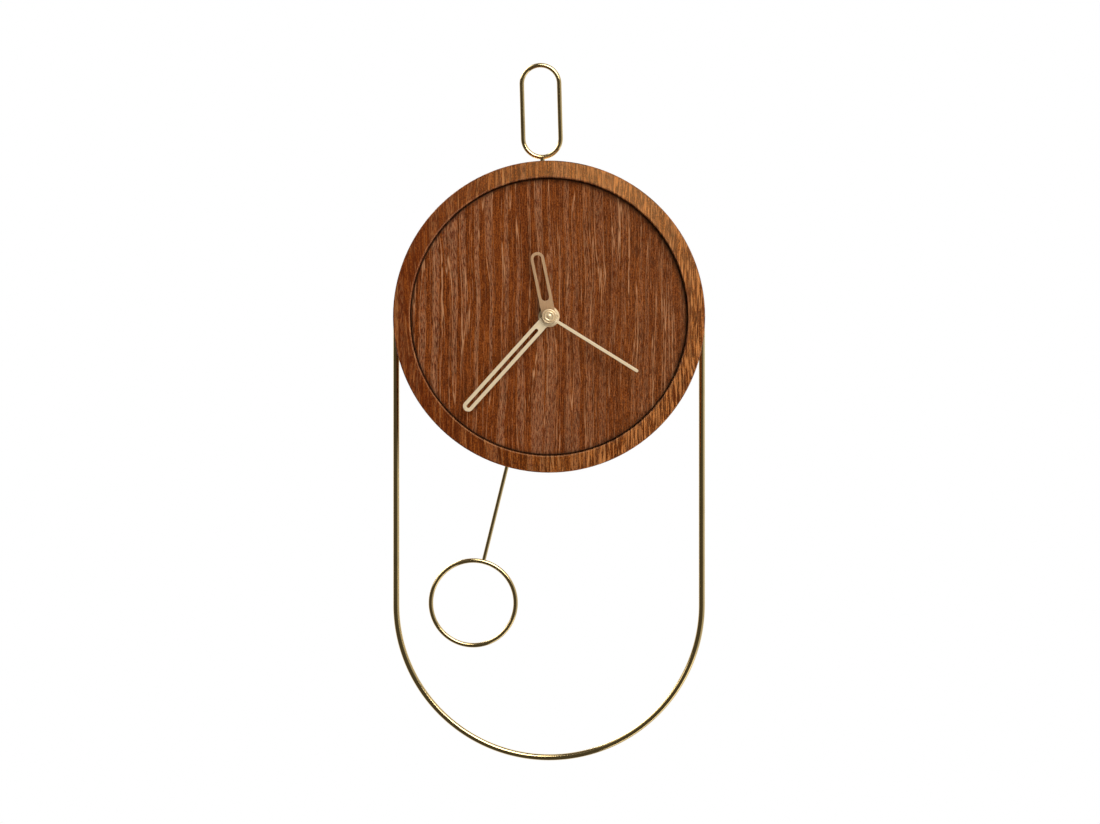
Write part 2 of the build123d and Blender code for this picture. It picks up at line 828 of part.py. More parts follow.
with BuildPart() as hand_cap:
    disc(cap_back, cap_back + cap_height, cap_diameter / 2)
    for groove in range(1, cap_groove_count + 1):
        groove_outer = cap_diameter / 2 * groove / (cap_groove_count + 1) + cap_groove / 2
        with BuildSketch(facing(cap_back + cap_height - cap_groove_depth)):
            Circle(groove_outer)
            Circle(groove_outer - cap_groove, mode=Mode.SUBTRACT)
        extrude(amount=cap_groove_depth, mode=Mode.SUBTRACT)
    disc(cap_back, cap_back + cap_height - stack_gap, second_arbor_radius + press_gap, mode=Mode.SUBTRACT)
hand_cap.part.label = "hand_cap"

# Pendulum: hanger on its pin, drive magnet, rod and ring


def along_rod(distance):
    """Plane square to the rod at a distance below the pivot."""
    down = (-sin(swing), 0, -cos(swing))
    origin = (distance * down[0], -pendulum_out, pivot_height + distance * down[2])
    return Plane(origin=origin, x_dir=(0, -1, 0), z_dir=down)


with BuildPart() as pivot_pin:
    pin_tip = hanger_back - stack_gap
    disc(pin_tip, chamber_back - 2 * stack_gap, pivot_pin_radius, 0, pivot_height)
    disc(pin_tip - pivot_head_height, pin_tip, pivot_head_radius, 0, pivot_height)
pivot_pin.part.label = "pivot_pin"

with BuildPart() as pendulum_hanger:
    with BuildSketch(facing(hanger_back, 0, pivot_height, swing_rest)):
        Circle(hanger_hub_radius)
        with Locations((0, -hanger_length / 2)):
            Rectangle(hanger_width, hanger_length)
        with Locations((0, -magnet_drop)):
            Circle(drive_magnet_radius + drive_magnet_wall)
    extrude(amount=hanger_thickness)
    disc(hanger_back, hanger_front, pivot_pin_radius + running_gap, 0, pivot_height, Mode.SUBTRACT)
    magnet_x, magnet_z = polar(-magnet_drop, swing_rest, 0, pivot_height)
    disc(
        hanger_front - drive_magnet_seat,
        hanger_front,
        drive_magnet_radius + press_gap,
        magnet_x,
        magnet_z,
        Mode.SUBTRACT,
    )
    with BuildSketch(along_rod(rod_top)):
        Circle(rod_radius + press_gap)
    extrude(amount=hanger_length - rod_top, mode=Mode.SUBTRACT)
pendulum_hanger.part.label = "pendulum_hanger"

with BuildPart() as drive_magnet:
    disc(
        hanger_front - drive_magnet_seat,
        hanger_front - drive_magnet_seat + drive_magnet_height,
        drive_magnet_radius,
        magnet_x,
        magnet_z,
    )
drive_magnet.part.label = "drive_magnet"

ring_x, ring_z = polar(-pendulum_length, swing_rest, 0, pivot_height)

with BuildPart(facing(pendulum_out, ring_x, ring_z)) as pendulum_ring:
    Torus(ring_radius, ring_wire / 2)
pendulum_ring.part.label = "pendulum_ring"

with BuildPart() as pendulum_rod:
    with BuildSketch(along_rod(rod_top)):
        Circle(rod_radius)
    extrude(amount=pendulum_length - ring_radius - rod_top)
    add(pendulum_ring.part, mode=Mode.SUBTRACT)
pendulum_rod.part.label = "pendulum_rod"

# One file for each piece

pieces = (
    case_ring,
    dial_panel,
    wire_frame,
    frame_tabs,
    tab_screws,
    hanging_loop,
    front_shell,
    rear_cover,
    dial_gasket,
    threaded_bush,
    nut_washer,
    fixing_nut,
    battery,
    battery_contacts,
    second_wheel,
    third_wheel,
    centre_wheel,
    minute_wheel,
    hour_wheel,
    intermediate_wheel,
    rotor_pinion,
    rotor_magnet,
    motor_stator,
    coil_core,
    motor_coil,
    circuit_board,
    quartz_crystal,
    pendulum_coil,
    setting_knob,
    hour_hand,
    minute_hand,
    second_hand,
    hand_cap,
    pivot_pin,
    pendulum_hanger,
    drive_magnet,
    pendulum_ring,
    pendulum_rod,
)

os.makedirs("parts", exist_ok=True)
for piece in pieces:
    export_step(piece.part, f"parts/{piece.part.label}.step")
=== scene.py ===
"""Looks of a pendulum wall clock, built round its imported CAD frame.

Lengths are metres in the frame of the CAD part: the origin is on the wall plane behind the dial's
centre, +X is to the right, +Z is up and the dial faces -Y.
"""
import json
import logging
import math
from dataclasses import dataclass, replace
from enum import Enum
from typing import Any, ClassVar, Sequence, Union

import bmesh
import bpy
from mathutils import Matrix, Vector


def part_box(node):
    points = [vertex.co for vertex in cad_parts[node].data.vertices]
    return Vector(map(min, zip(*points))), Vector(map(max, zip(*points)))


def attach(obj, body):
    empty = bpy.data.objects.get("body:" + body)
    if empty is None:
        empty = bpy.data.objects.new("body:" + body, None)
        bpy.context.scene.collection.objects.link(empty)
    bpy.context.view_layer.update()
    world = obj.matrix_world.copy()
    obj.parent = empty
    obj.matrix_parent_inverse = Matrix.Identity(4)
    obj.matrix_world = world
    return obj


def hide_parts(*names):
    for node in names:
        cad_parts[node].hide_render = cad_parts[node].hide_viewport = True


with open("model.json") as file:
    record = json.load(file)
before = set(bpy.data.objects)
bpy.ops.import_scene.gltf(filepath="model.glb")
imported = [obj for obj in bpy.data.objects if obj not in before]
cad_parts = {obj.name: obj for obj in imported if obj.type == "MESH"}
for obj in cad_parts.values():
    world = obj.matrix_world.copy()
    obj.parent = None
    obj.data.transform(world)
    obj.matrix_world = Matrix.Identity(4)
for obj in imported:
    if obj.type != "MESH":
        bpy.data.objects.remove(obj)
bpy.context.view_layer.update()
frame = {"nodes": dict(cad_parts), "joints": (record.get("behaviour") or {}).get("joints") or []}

LOG = logging.getLogger("pendulum_clock")
MM = 0.001
# Value that noise swings about.
MIDDLE = 0.5
# Points of a wire or of a CAD mesh that lie closer than this are one point.
WELD = 0.001 * MM
Colour = tuple[float, float, float, float]
Outline = list[tuple[float, float]]
Span = tuple[float, float]
Value = Union["Term", float, Colour]


def srgb(red: int, green: int, blue: int) -> Colour:
    """Turn a display colour into the linear one that shaders take.

    Args:
        red: Red share, 0 to 255.
        green: Green share, 0 to 255.
        blue: Blue share, 0 to 255.

    Returns:
        Linear colour with full alpha.
    """

    def linear(level: int) -> float:
        """Undo the display curve for one share."""
        share = level / 255
        return share / 12.92 if share <= 0.04045 else ((share + 0.055) / 1.055) ** 2.4

    return linear(red), linear(green), linear(blue), 1.0


class Slot(str, Enum):
    """Names of material slots of the record."""

    BRASS = "polished_brass"
    CHAMPAGNE = "champagne_metal"
    HOUSING = "black_plastic"
    KNOB = "knob_plastic"


class Term:
    """A socket of a node tree that Python operators turn into Math nodes."""

    def __init__(self, graph: "Graph", socket: bpy.types.NodeSocket) -> None:
        """Hold a socket and the graph that it belongs to."""
        self.graph = graph
        self.socket = socket

    def __add__(self, other: Value) -> "Term":
        """Sum of two values."""
        return self.graph.math("ADD", self, other)

    __radd__ = __add__

    def __sub__(self, other: Value) -> "Term":
        """Difference of two values."""
        return self.graph.math("SUBTRACT", self, other)

    def __rsub__(self, other: Value) -> "Term":
        """Difference with the plain number first."""
        return self.graph.math("SUBTRACT", other, self)

    def __mul__(self, other: Value) -> "Term":
        """Product of two values."""
        return self.graph.math("MULTIPLY", self, other)

    __rmul__ = __mul__

    def __truediv__(self, other: Value) -> "Term":
        """Quotient of two values."""
        return self.graph.math("DIVIDE", self, other)

    def __gt__(self, other: Value) -> "Term":
        """One where this value is the larger."""
        return self.graph.math("GREATER_THAN", self, other)

    def __lt__(self, other: Value) -> "Term":
        """One where this value is the smaller."""
        return self.graph.math("LESS_THAN", self, other)

    def __abs__(self) -> "Term":
        """Size without its sign."""
        return self.graph.math("ABSOLUTE", self)

    def wave(self) -> "Term":
        """Sine of this value."""
        return self.graph.math("SINE", self)

    def larger(self, other: Value) -> "Term":
        """The larger of two values."""
        return self.graph.math("MAXIMUM", self, other)

    def toward(self, other: Value, share: Value) -> "Term":
        """Value that goes from this one to another as share goes from 0 to 1."""
        return self + (other - self) * share

    def between(self, low: float, high: float) -> "Term":
        """Smooth step from 0 at low to 1 at high.

        Args:
            low: Value that gives 0.
            high: Value that gives 1.

        Returns:
            Term that runs from 0 to 1.
        """
        return self.graph.node(
            "ShaderNodeMapRange",
            {"interpolation_type": "SMOOTHSTEP"},
            {"Value": self, "From Min": low, "From Max": high},
            "Result",
        )


class Graph:
    """A node tree that is filled by one method."""

    def __init__(self, tree: bpy.types.NodeTree) -> None:
        """Take an empty tree."""
        self.tree = tree

    @classmethod
    def of(cls, owner: bpy.types.Material | bpy.types.World) -> "Graph":
        """Empty the node tree of a material or a world and take it.

        Args:
            owner: The material or the world.

        Returns:
            Its graph.
        """
        owner.use_nodes = True
        owner.node_tree.nodes.clear()
        return cls(owner.node_tree)

    @staticmethod
    def _pick(sockets: Sequence[bpy.types.NodeSocket], key: str) -> bpy.types.NodeSocket:
        """Find a socket by its identifier, or else by its name among those in use.

        Args:
            sockets: Inputs or outputs of a node.
            key: Identifier or name.

        Returns:
            The socket.

        Raises:
            KeyError: No socket has that identifier or name.
        """
        for socket in sockets:
            if socket.identifier == key:
                return socket
        for socket in sockets:
            if socket.name == key and socket.enabled:
                return socket
        raise KeyError(key)

    def node(
        self,
        kind: str,
        settings: dict[str, Any] | None = None,
        inputs: dict[str, Value] | None = None,
        output: str | None = None,
    ) -> Term:
        """Add a node.

        Args:
            kind: Type of the node.
            settings: Properties of the node, set before its sockets.
            inputs: Values or links of its sockets, by identifier or name.
            output: Socket to hand back, or else the first one.

        Returns:
            The chosen output socket, or the first input of a node without outputs.
        """
        made = self.tree.nodes.new(kind)
        for name, value in (settings or {}).items():
            setattr(made, name, value)
        for name, value in (inputs or {}).items():
            socket = self._pick(made.inputs, name)
            if isinstance(value, Term):
                self.tree.links.new(value.socket, socket)
            else:
                socket.default_value = value
        if not len(made.outputs):
            return Term(self, made.inputs[0])
        return Term(self, self._pick(made.outputs, output) if output else made.outputs[0])

    def outlets(
        self, kind: str, names: Sequence[str], inputs: dict[str, Value] | None = None
    ) -> list[Term]:
        """Add a node and hand back several of its outputs.

        Args:
            kind: Type of the node.
            names: Names of the outputs.
            inputs: Values or links of its sockets.

        Returns:
            One term for each name.
        """
        outputs = self.node(kind, {}, inputs).socket.node.outputs
        return [Term(self, outputs[name]) for name in names]

    def math(self, operation: str, first: Value, second: Value = 0.0) -> Term:
        """Math node on one or two values.

        Args:
            operation: Name of the operation.
            first: First value.
            second: Second value.

        Returns:
            Its result.
        """
        sockets = {"Value": first, "Value_001": second}
        return self.node("ShaderNodeMath", {"operation": operation}, sockets)

    def vector(self, x: Value, y: Value, z: Value) -> Term:
        """Vector from three values."""
        return self.node("ShaderNodeCombineXYZ", {}, {"X": x, "Y": y, "Z": z})

    def reach(self, first: Term, second: Term) -> Term:
        """Length of the way with two legs at a right angle."""
        return self.math("SQRT", first * first + second * second)

    def axes(self, place: Term) -> list[Term]:
        """The x, y and z of a vector."""
        return self.outlets("ShaderNodeSeparateXYZ", ("X", "Y", "Z"), {"Vector": place})

    def millimetres(self) -> list[Term]:
        """Object coordinates x, y and z in millimetres."""
        place = self.node("ShaderNodeTexCoord", {}, {}, "Object")
        return [axis * (1 / MM) for axis in self.axes(place)]

    def noise(self, place: Term, detail: float = 2.0, rough: float = 0.5) -> Term:
        """Noise of about unit grain size.

        Args:
            place: Where it is read.
            detail: Octaves added.
            rough: Share that each octave keeps.

        Returns:
            Noise value around one half.
        """
        sockets = {"Vector": place, "Scale": 1.0, "Detail": detail, "Roughness": rough}
        return self.node("ShaderNodeTexNoise", {}, sockets, "Fac")

    def cells(self, place: Term) -> Term:
        """Distance to the nearest of scattered points, about one to a unit square."""
        sockets = {"Vector": place, "Scale": 1.0}
        return self.node("ShaderNodeTexVoronoi", {"voronoi_dimensions": "2D"}, sockets, "Distance")

    def mix(self, share: Value, first: Value, second: Value) -> Term:
        """Colour between two colours.

        Args:
            share: Share of the second one.
            first: First colour.
            second: Second colour.

        Returns:
            The mixed colour.
        """
        sockets = {"Factor_Float": share, "A_Color": first, "B_Color": second}
        return self.node("ShaderNodeMix", {"data_type": "RGBA"}, sockets, "Result_Color")


@dataclass(frozen=True)
class Cloud:
    """Noise of a piece's own coordinates, in grains to the millimetre."""

    grains: float | tuple[float, float, float]
    detail: float = 2.0
    rough: float = 0.5

    def read(self, graph: Graph) -> Term:
        """Read the noise, with one grain for all directions or one for each.

        Args:
            graph: Graph in use.

        Returns:
            Noise value around one half.
        """
        each = (self.grains,) * 3 if isinstance(self.grains, float) else self.grains
        place = graph.vector(*(axis * fine for axis, fine in zip(graph.millimetres(), each)))
        return graph.noise(place, self.detail, self.rough)


@dataclass(frozen=True)
class Stain:
    """A colour that is laid over another one where a mark shows."""

    colour: Colour
    share: float = 1.0
    step: Span | None = None

    def tinted(self, colour: Colour) -> "Stain":
        """The same stain in another colour."""
        return replace(self, colour=colour)

    def over(self, graph: Graph, ground: Value, mark: Term, hold: Value = 1.0) -> Term:
        """Lay the colour over a ground.

        Args:
            graph: Graph in use.
            ground: Colour below.
            mark: Where the stain goes, through its step if it has one.
            hold: Share that is let through.

        Returns:
            The stained colour.
        """
        if self.step:
            mark = mark.between(*self.step)
        return graph.mix(mark * hold * self.share, ground, self.colour)


@dataclass(frozen=True)
class Relief:
    """Fine unevenness of a surface: its height in metres and the share that shows."""

    depth: float
    strength: float

    def normal(self, graph: Graph, height: Term) -> Term:
        """Normal of the uneven surface.

        Args:
            graph: Graph in use.
            height: Height from 0 to 1.

        Returns:
            Normal for the surface shader.
        """
        sockets = {"Height": height, "Distance": self.depth, "Strength": self.strength}
        return graph.node("ShaderNodeBump", {}, sockets, "Normal")


@dataclass(frozen=True)
class Finish:
    """A named finish, which each kind of surface paints in its own way."""

    name: str

    def paint(self, graph: Graph) -> dict[str, Value]:
        """Work the surface out.

        Args:
            graph: Empty graph.

        Returns:
            Sockets of the surface shader.
        """
        raise NotImplementedError(self.name)

    def material(self) -> bpy.types.Material:
        """Make the material.

        Returns:
            Material with this finish.
        """
        material = bpy.data.materials.new(self.name)
        graph = Graph.of(material)
        shader = graph.node("ShaderNodeBsdfPrincipled", {}, self.paint(graph), "BSDF")
        graph.node("ShaderNodeOutputMaterial", {}, {"Surface": shader})
        return material


@dataclass(frozen=True)
class Layer:
    """One noise layer of a veneer: grains to the millimetre and its share of the grain."""

    across: float
    along: float
    shift: float = 0.0
    detail: float = 1.0
    share: float = 0.0

    def noise(self, graph: Graph, across: Term, along: Term, seed: float) -> Term:
        """Read the layer.

        Args:
            graph: Graph in use.
            across: Place across the grain in millimetres.
            along: Place along the grain in millimetres.
            seed: Choice of the sheet of veneer.

        Returns:
            Noise value around one half.
        """
        place = graph.vector(across * self.across, along * self.along, seed + self.shift)
        return graph.noise(place, self.detail)


@dataclass(frozen=True)
class SheetPlace:
    """Where a point lies on the piece and on its sheet of veneer, in millimetres."""

    x: Term
    y: Term
    z: Term
    radius: Term
    across: Term
    along: Term
    line: Term


@dataclass(frozen=True)
class Figure:
    """Marks of the wood at a point."""

    tone: Term
    early: Term
    pores: Term
    pale: Term
    grain: Term
    dark: Term
    speck: Term
    streak: Term
    lively: Term


@dataclass(frozen=True)
class VeneerFinish(Finish):
    """Open-pored stained veneer on the front and side, raw fibreboard behind.

    The sizes of the piece are metres. The spans, reaches and layers of the figure are millimetres.
    A corner with painted shade or an edge with a painted highlight that is not given lies a metre
    off, where the piece has no surface.
    """

    DRIFT: ClassVar[Layer] = Layer(0.02, 0.011)
    SWAY: ClassVar[Layer] = Layer(0.09, 0.03, 3.1)
    TONE: ClassVar[Layer] = Layer(0.10, 0.008, 7.7, detail=2.0)
    BAND: ClassVar[Layer] = Layer(0.24, 0.005, 5.2)
    SEAM: ClassVar[Layer] = Layer(0.46, 0.0045, 9.1)
    STREAK: ClassVar[Layer] = Layer(1.05, 0.09, 8.3)
    HAIR: ClassVar[Layer] = Layer(1.8, 0.03, 1.3, share=0.24)
    DASH: ClassVar[Layer] = Layer(1.8, 0.13, 4.4, share=0.25)
    SPECK: ClassVar[Layer] = Layer(1.9, 0.9, 2.2, share=0.31)
    FIBRE: ClassVar[Layer] = Layer(7.0, 0.35, 6.1, detail=2.0, share=0.20)

    raw_below: float
    side_radius: float
    slot_half: float = 0.0
    slot_top: float = 0.0
    bore_radius: float = 0.0
    bore_top: float = 0.0
    seed: float = 0.0
    corner: Span = (1.0, 1.1)
    highlight_radius: float = -1.0

    ground: Colour = srgb(110, 44, 6)
    glow: Stain = Stain(srgb(134, 62, 12), 0.4, (0.35, 0.70))
    mauve: Stain = Stain(srgb(128, 80, 61), 0.42)
    shade: Stain = Stain(srgb(48, 14, 0), 0.78)
    light: Stain = Stain(srgb(176, 104, 46), 0.40, (0.49, 0.62))
    pore: Stain = Stain(srgb(194, 138, 96), 0.78)
    streak: float = 0.0
    streak_light: Stain = Stain(srgb(206, 130, 70), step=(0.50, 0.64))
    streak_dark: Stain = Stain(srgb(78, 22, 2), step=(0.50, 0.64))
    # Painted shade: toward the left the piece is painted darker and redder, with calmer marks.
    left_shade: float = 0.0
    left_shade_tone: Colour = srgb(102, 35, 9)
    left_shade_span: Span = (-85.0, 10.0)
    left_shade_calm: float = 0.6
    # Painted shade in the recess corner beside the rim: a dark fade and a darker band at the dial's
    # edge.
    corner_shade_fade: Stain = Stain(srgb(30, 14, 8), 0.35)
    corner_shade_reach: float = 3.5
    corner_shade: Stain = Stain(srgb(30, 14, 8), 0.92)
    # Painted highlight: a pale speckled line on the rim's inner edge, where the edge catches the
    # light.
    painted_edge_highlight: Stain = Stain(srgb(196, 160, 130), 0.14, (0.3, 0.6))
    highlight_span: Span = (0.15, 0.55)

    spread: float = 0.0015
    drift_reach: float = 9.0
    sway_reach: float = 0.5
    plain_span: Span = (-20.0, 50.0)
    plain_dark: float = 0.02
    early_step: Span = (0.54, 0.61)
    early_fade: float = 0.6
    ridge_width: float = 0.016
    ridge_fade: float = 0.4
    edge_width: float = 0.015
    vessel_grains: Span = (2.5, 0.19)
    pore_step: Span = (0.18, 0.42)
    pore_few: float = 0.04
    pore_plain: float = 0.1
    pore_many: float = 0.6
    dash_step: Span = (0.32, 0.52)
    dark_step: Span = (0.45, 0.57)

    gloss: float = 0.24
    sheen: Colour = (1.0, 0.72, 0.36, 1.0)
    roughness: float = 0.44
    pore_rough: float = 0.14
    speck_smooth: float = 0.06
    streak_rough: float = 0.9
    relief: Relief = Relief(0.10 * MM, 0.5)
    board: Colour = srgb(176, 138, 98)
    board_dark: Colour = srgb(140, 104, 70)
    board_rough: float = 0.85
    flake: Cloud = Cloud((2.2, 3.0, 2.2), 3.0, 0.7)
    flake_step: Span = (0.30, 0.70)

    def paint(self, graph: Graph) -> dict[str, Value]:
        """Lay the veneer over the board.

        Args:
            graph: Empty graph.

        Returns:
            Sockets of the surface shader.
        """
        place = self.lay(graph)
        wood = self.figure(graph, place)
        colour = self.with_painted_light(graph, place, wood, self.stained(graph, place, wood))
        raw = self.raw(place)
        flake = self.flake.read(graph)
        fibreboard = graph.mix(flake.between(*self.flake_step), self.board_dark, self.board)
        height = 1 - (wood.pores + wood.dark) / 2.0
        rough = self.roughness + wood.pores * self.pore_rough - wood.speck * self.speck_smooth
        rough = rough + (wood.streak - MIDDLE) * wood.lively * self.streak_rough
        return {
            "Base Color": graph.mix(raw, colour, fibreboard),
            "Roughness": rough.toward(self.board_rough, raw),
            "Specular IOR Level": self.gloss,
            "Specular Tint": self.sheen,
            "Normal": self.relief.normal(graph, height.toward(flake, raw)),
        }

    def lay(self, graph: Graph) -> SheetPlace:
        """Run the grain upright on the front and round the side.

        Args:
            graph: Graph in use.

        Returns:
            Place of a point on the sheet.
        """
        x, y, z = graph.millimetres()
        radius = graph.reach(x, z)
        side = radius > self.side_radius / MM
        around = graph.math("ARCTAN2", x, z) * (self.side_radius / MM)
        across = x.toward(y, side)
        along = z.toward(around, side)
        drift = self.DRIFT.noise(graph, across, along, self.seed) * self.drift_reach
        sway = self.SWAY.noise(graph, across, along, self.seed) * self.sway_reach
        line = across + across * across * self.spread + drift + sway
        return SheetPlace(x, y, z, radius, across, along, line)

    def figure(self, graph: Graph, place: SheetPlace) -> Figure:
        """Draw the marks of the wood, with bands at the left and plain grain at the right.

        Args:
            graph: Graph in use.
            place: Place on the sheet.

        Returns:
            The marks.
        """

        def read(layer: Layer) -> Term:
            """Read a layer along the lines of the grain."""
            return layer.noise(graph, place.line, place.along, self.seed)

        band, dash, streak = read(self.BAND), read(self.DASH), read(self.STREAK)
        speck = self.SPECK.noise(graph, place.across, place.along, self.seed)
        wide, long = self.vessel_grains
        vessel = graph.cells(graph.vector(place.line * wide, place.along * long, 0.0))
        plain = place.across.between(*self.plain_span)
        early = band.between(*self.early_step) * (1 - plain * self.early_fade)
        ridge = 1 - abs(read(self.SEAM) - MIDDLE).between(0.0, self.ridge_width)
        ridge = ridge * (1 - plain * self.ridge_fade)
        edge = 1 - abs(band - self.early_step[0]).between(0.0, self.edge_width)
        many = (self.pore_few + plain * self.pore_plain).toward(self.pore_many, early)
        pores = (1 - vessel.between(*self.pore_step)) * many
        grain = read(self.HAIR) * self.HAIR.share + dash * self.DASH.share
        grain = grain + speck * self.SPECK.share + read(self.FIBRE) * self.FIBRE.share
        return Figure(
            tone=read(self.TONE),
            early=early,
            pores=pores,
            pale=(ridge.larger(edge) * dash.between(*self.dash_step)).larger(pores),
            grain=grain,
            dark=(1 - grain + plain * self.plain_dark).between(*self.dark_step),
            speck=speck,
            streak=streak,
            lively=plain * self.streak,
        )

    def stained(self, graph: Graph, place: SheetPlace, wood: Figure) -> Term:
        """Colour the marks, with painted shade that makes them darker, redder and calmer toward the
        left.

        Args:
            graph: Graph in use.
            place: Place on the sheet.
            wood: Marks of the wood.

        Returns:
            Colour of the new veneer.
        """
        colour = self.glow.over(graph, self.ground, wood.tone)
        colour = self.mauve.over(graph, colour, wood.early)
        # Painted shade on the left side.
        left_shade = (1 - place.x.between(*self.left_shade_span)) * self.left_shade
        calm = 1 - left_shade * self.left_shade_calm
        colour = graph.mix(left_shade, colour, self.left_shade_tone)
        colour = self.shade.over(graph, colour, wood.dark, calm)
        colour = self.light.over(graph, colour, wood.grain, calm)
        colour = self.pore.over(graph, colour, wood.pale, calm)
        colour = self.streak_light.over(graph, colour, wood.streak, wood.lively)
        return self.streak_dark.over(graph, colour, 1 - wood.streak, wood.lively)

    def with_painted_light(self, graph: Graph, place: SheetPlace, wood: Figure, colour: Term) -> Term:
        """Paint shade into the corner beside the rim and paint a highlight on the rim's inner edge.

        Args:
            graph: Graph in use.
            place: Place on the sheet.
            wood: Marks of the wood.
            colour: Colour of the new veneer.

        Returns:
            Colour with the painted shade and the painted highlight.
        """
        start, full = (limit / MM for limit in self.corner)
        # Painted shade: darken the dial toward its edge in the recess corner.
        corner_shade_fade = place.radius.between(start - self.corner_shade_reach, full)
        colour = self.corner_shade_fade.over(graph, colour, corner_shade_fade * corner_shade_fade)
        colour = self.corner_shade.over(graph, colour, place.radius.between(start, full))
        # Painted highlight along the rim's inner edge.
        edge_highlight = 1 - abs(place.radius - self.highlight_radius / MM).between(*self.highlight_span)
        return self.painted_edge_highlight.over(graph, colour, wood.speck, edge_highlight)

    def raw(self, place: SheetPlace) -> Term:
        """Mask of the bare fibreboard: back edge, bore and pendulum slot.

        Args:
            place: Place on the piece.

        Returns:
            One on bare board.
        """
        back = place.y > -self.raw_below / MM
        bore = (place.radius < self.bore_radius / MM) * (place.y > -self.bore_top / MM)
        slot = (abs(place.x) < self.slot_half / MM) * (place.z < 0.0)
        return back.larger(bore).larger(slot * (place.y > -self.slot_top / MM))


@dataclass(frozen=True)
class MetalFinish(Finish):
    """Plain plated or stamped metal with a light mottling."""

    colour: Colour
    stain: Colour
    roughness: float = 0.3
    metal: float = 1.0
    stain_share: float = 0.6
    stain_step: Span = (0.45, 0.75)
    mottle: Cloud = Cloud(0.9, 3.0, 0.6)
    mottle_rough: float = 0.15
    grit: Cloud = Cloud(5.0)
    grit_rough: float = 0.05
    relief: Relief = Relief(0.01 * MM, 0.3)

    def paint(self, graph: Graph) -> dict[str, Value]:
        """Mottle the metal and roughen it a little.

        Args:
            graph: Empty graph.

        Returns:
            Sockets of the surface shader.
        """
        mottle = self.mottle.read(graph)
        grit = self.grit.read(graph)
        patches = Stain(self.stain, self.stain_share, self.stain_step)
        return {
            "Base Color": patches.over(graph, self.colour, mottle),
            "Metallic": self.metal,
            "Roughness": self.roughness + mottle * self.mottle_rough + grit * self.grit_rough,
            "Normal": self.relief.normal(graph, grit),
        }


@dataclass(frozen=True)
class BrassFinish(MetalFinish):
    """Polished, lacquered brass wire with a soft cloud of tarnish."""

    colour: Colour = (0.80, 0.60, 0.29, 1.0)
    stain: Colour = (0.56, 0.39, 0.17, 1.0)
    roughness: float = 0.09
    stain_share: float = 0.35
    stain_step: Span = (0.50, 0.75)
    mottle: Cloud = Cloud(0.06, 3.0)
    mottle_rough: float = 0.06
    grit: Cloud = Cloud(2.5)
    grit_rough: float = 0.03
    relief: Relief = Relief(0.01 * MM, 0.03)


@dataclass(frozen=True)
class BrushedFinish(Finish):
    """Sheet metal brushed along one direction of the dial."""

    turn: float
    colour: Colour
    edge: Colour
    metal: float = 0.35
    across_grains: float = 5.0
    along_grains: float = 0.12
    line_step: Span = (0.3, 0.7)
    cloud: Cloud = Cloud(0.15)
    roughness: float = 0.42
    line_rough: float = 0.12
    cloud_rough: float = 0.06
    relief: Relief = Relief(0.03 * MM, 0.35)

    def paint(self, graph: Graph) -> dict[str, Value]:
        """Draw fine lines along the piece.

        Args:
            graph: Empty graph.

        Returns:
            Sockets of the surface shader.
        """
        x, y, z = graph.millimetres()
        angle = math.radians(self.turn)
        along = x * math.sin(angle) + z * math.cos(angle)
        across = x * math.cos(angle) - z * math.sin(angle)
        fine = self.across_grains
        place = graph.vector(across * fine, y * fine, along * self.along_grains)
        lines = graph.noise(place, detail=3.0, rough=0.7)
        cloud = self.cloud.read(graph)
        return {
            "Base Color": graph.mix(lines.between(*self.line_step), self.edge, self.colour),
            "Metallic": self.metal,
            "Roughness": self.roughness + lines * self.line_rough + cloud * self.cloud_rough,
            "Normal": self.relief.normal(graph, lines),
        }


@dataclass(frozen=True)
class TurnedFinish(Finish):
    """Lathe-turned metal with fine rings about the axis of the hands."""

    colour: Colour
    metal: float
    stain: Stain = Stain((0.30, 0.22, 0.10, 1.0), 0.25)
    ring_pitch: float = 0.22 * MM
    grit_grains: float = 9.0
    grit_seed: float = 0.5
    roughness: float = 0.3
    grit_rough: float = 0.12
    relief: Relief = Relief(0.02 * MM, 0.25)

    def paint(self, graph: Graph) -> dict[str, Value]:
        """Cut fine rings about the axis.

        Args:
            graph: Empty graph.

        Returns:
            Sockets of the surface shader.
        """
        x, y, z = graph.millimetres()
        radius = graph.reach(x, z)
        rings = (radius * (2 * math.pi * MM / self.ring_pitch)).wave() * 0.5 + 0.5
        fine = self.grit_grains
        grit = graph.noise(graph.vector(radius * fine, y * fine, self.grit_seed))
        return {
            "Base Color": self.stain.over(graph, self.colour, grit),
            "Metallic": self.metal,
            "Roughness": self.roughness + grit * self.grit_rough,
            "Normal": self.relief.normal(graph, rings),
        }


@dataclass(frozen=True)
class MouldedFinish(Finish):
    """Moulded plastic or rubber with a fine spark-eroded texture."""

    colour: Colour
    roughness: float
    grain: Cloud = Cloud(2.2, 3.0, 0.6)
    grain_rough: float = 0.12
    lift: float = 1.6
    flow: Cloud = Cloud((0.08, 0.2, 0.05))
    flow_step: Span = (0.35, 0.75)
    flow_share: float = 0.6
    flow_rough: float = 0.08
    relief: Relief = Relief(0.02 * MM, 0.6)

    def paint(self, graph: Graph) -> dict[str, Value]:
        """Sprinkle a fine grain with faint flow marks.

        Args:
            graph: Empty graph.

        Returns:
            Sockets of the surface shader.
        """
        grain = self.grain.read(graph)
        flow = self.flow.read(graph)
        paler = tuple(min(1.0, share * self.lift) for share in self.colour[:3]) + (1.0,)
        marks = Stain(paler, self.flow_share, self.flow_step)
        return {
            "Base Color": marks.over(graph, self.colour, flow),
            "Roughness": self.roughness + grain * self.grain_rough + flow * self.flow_rough,
            "Normal": self.relief.normal(graph, grain),
        }


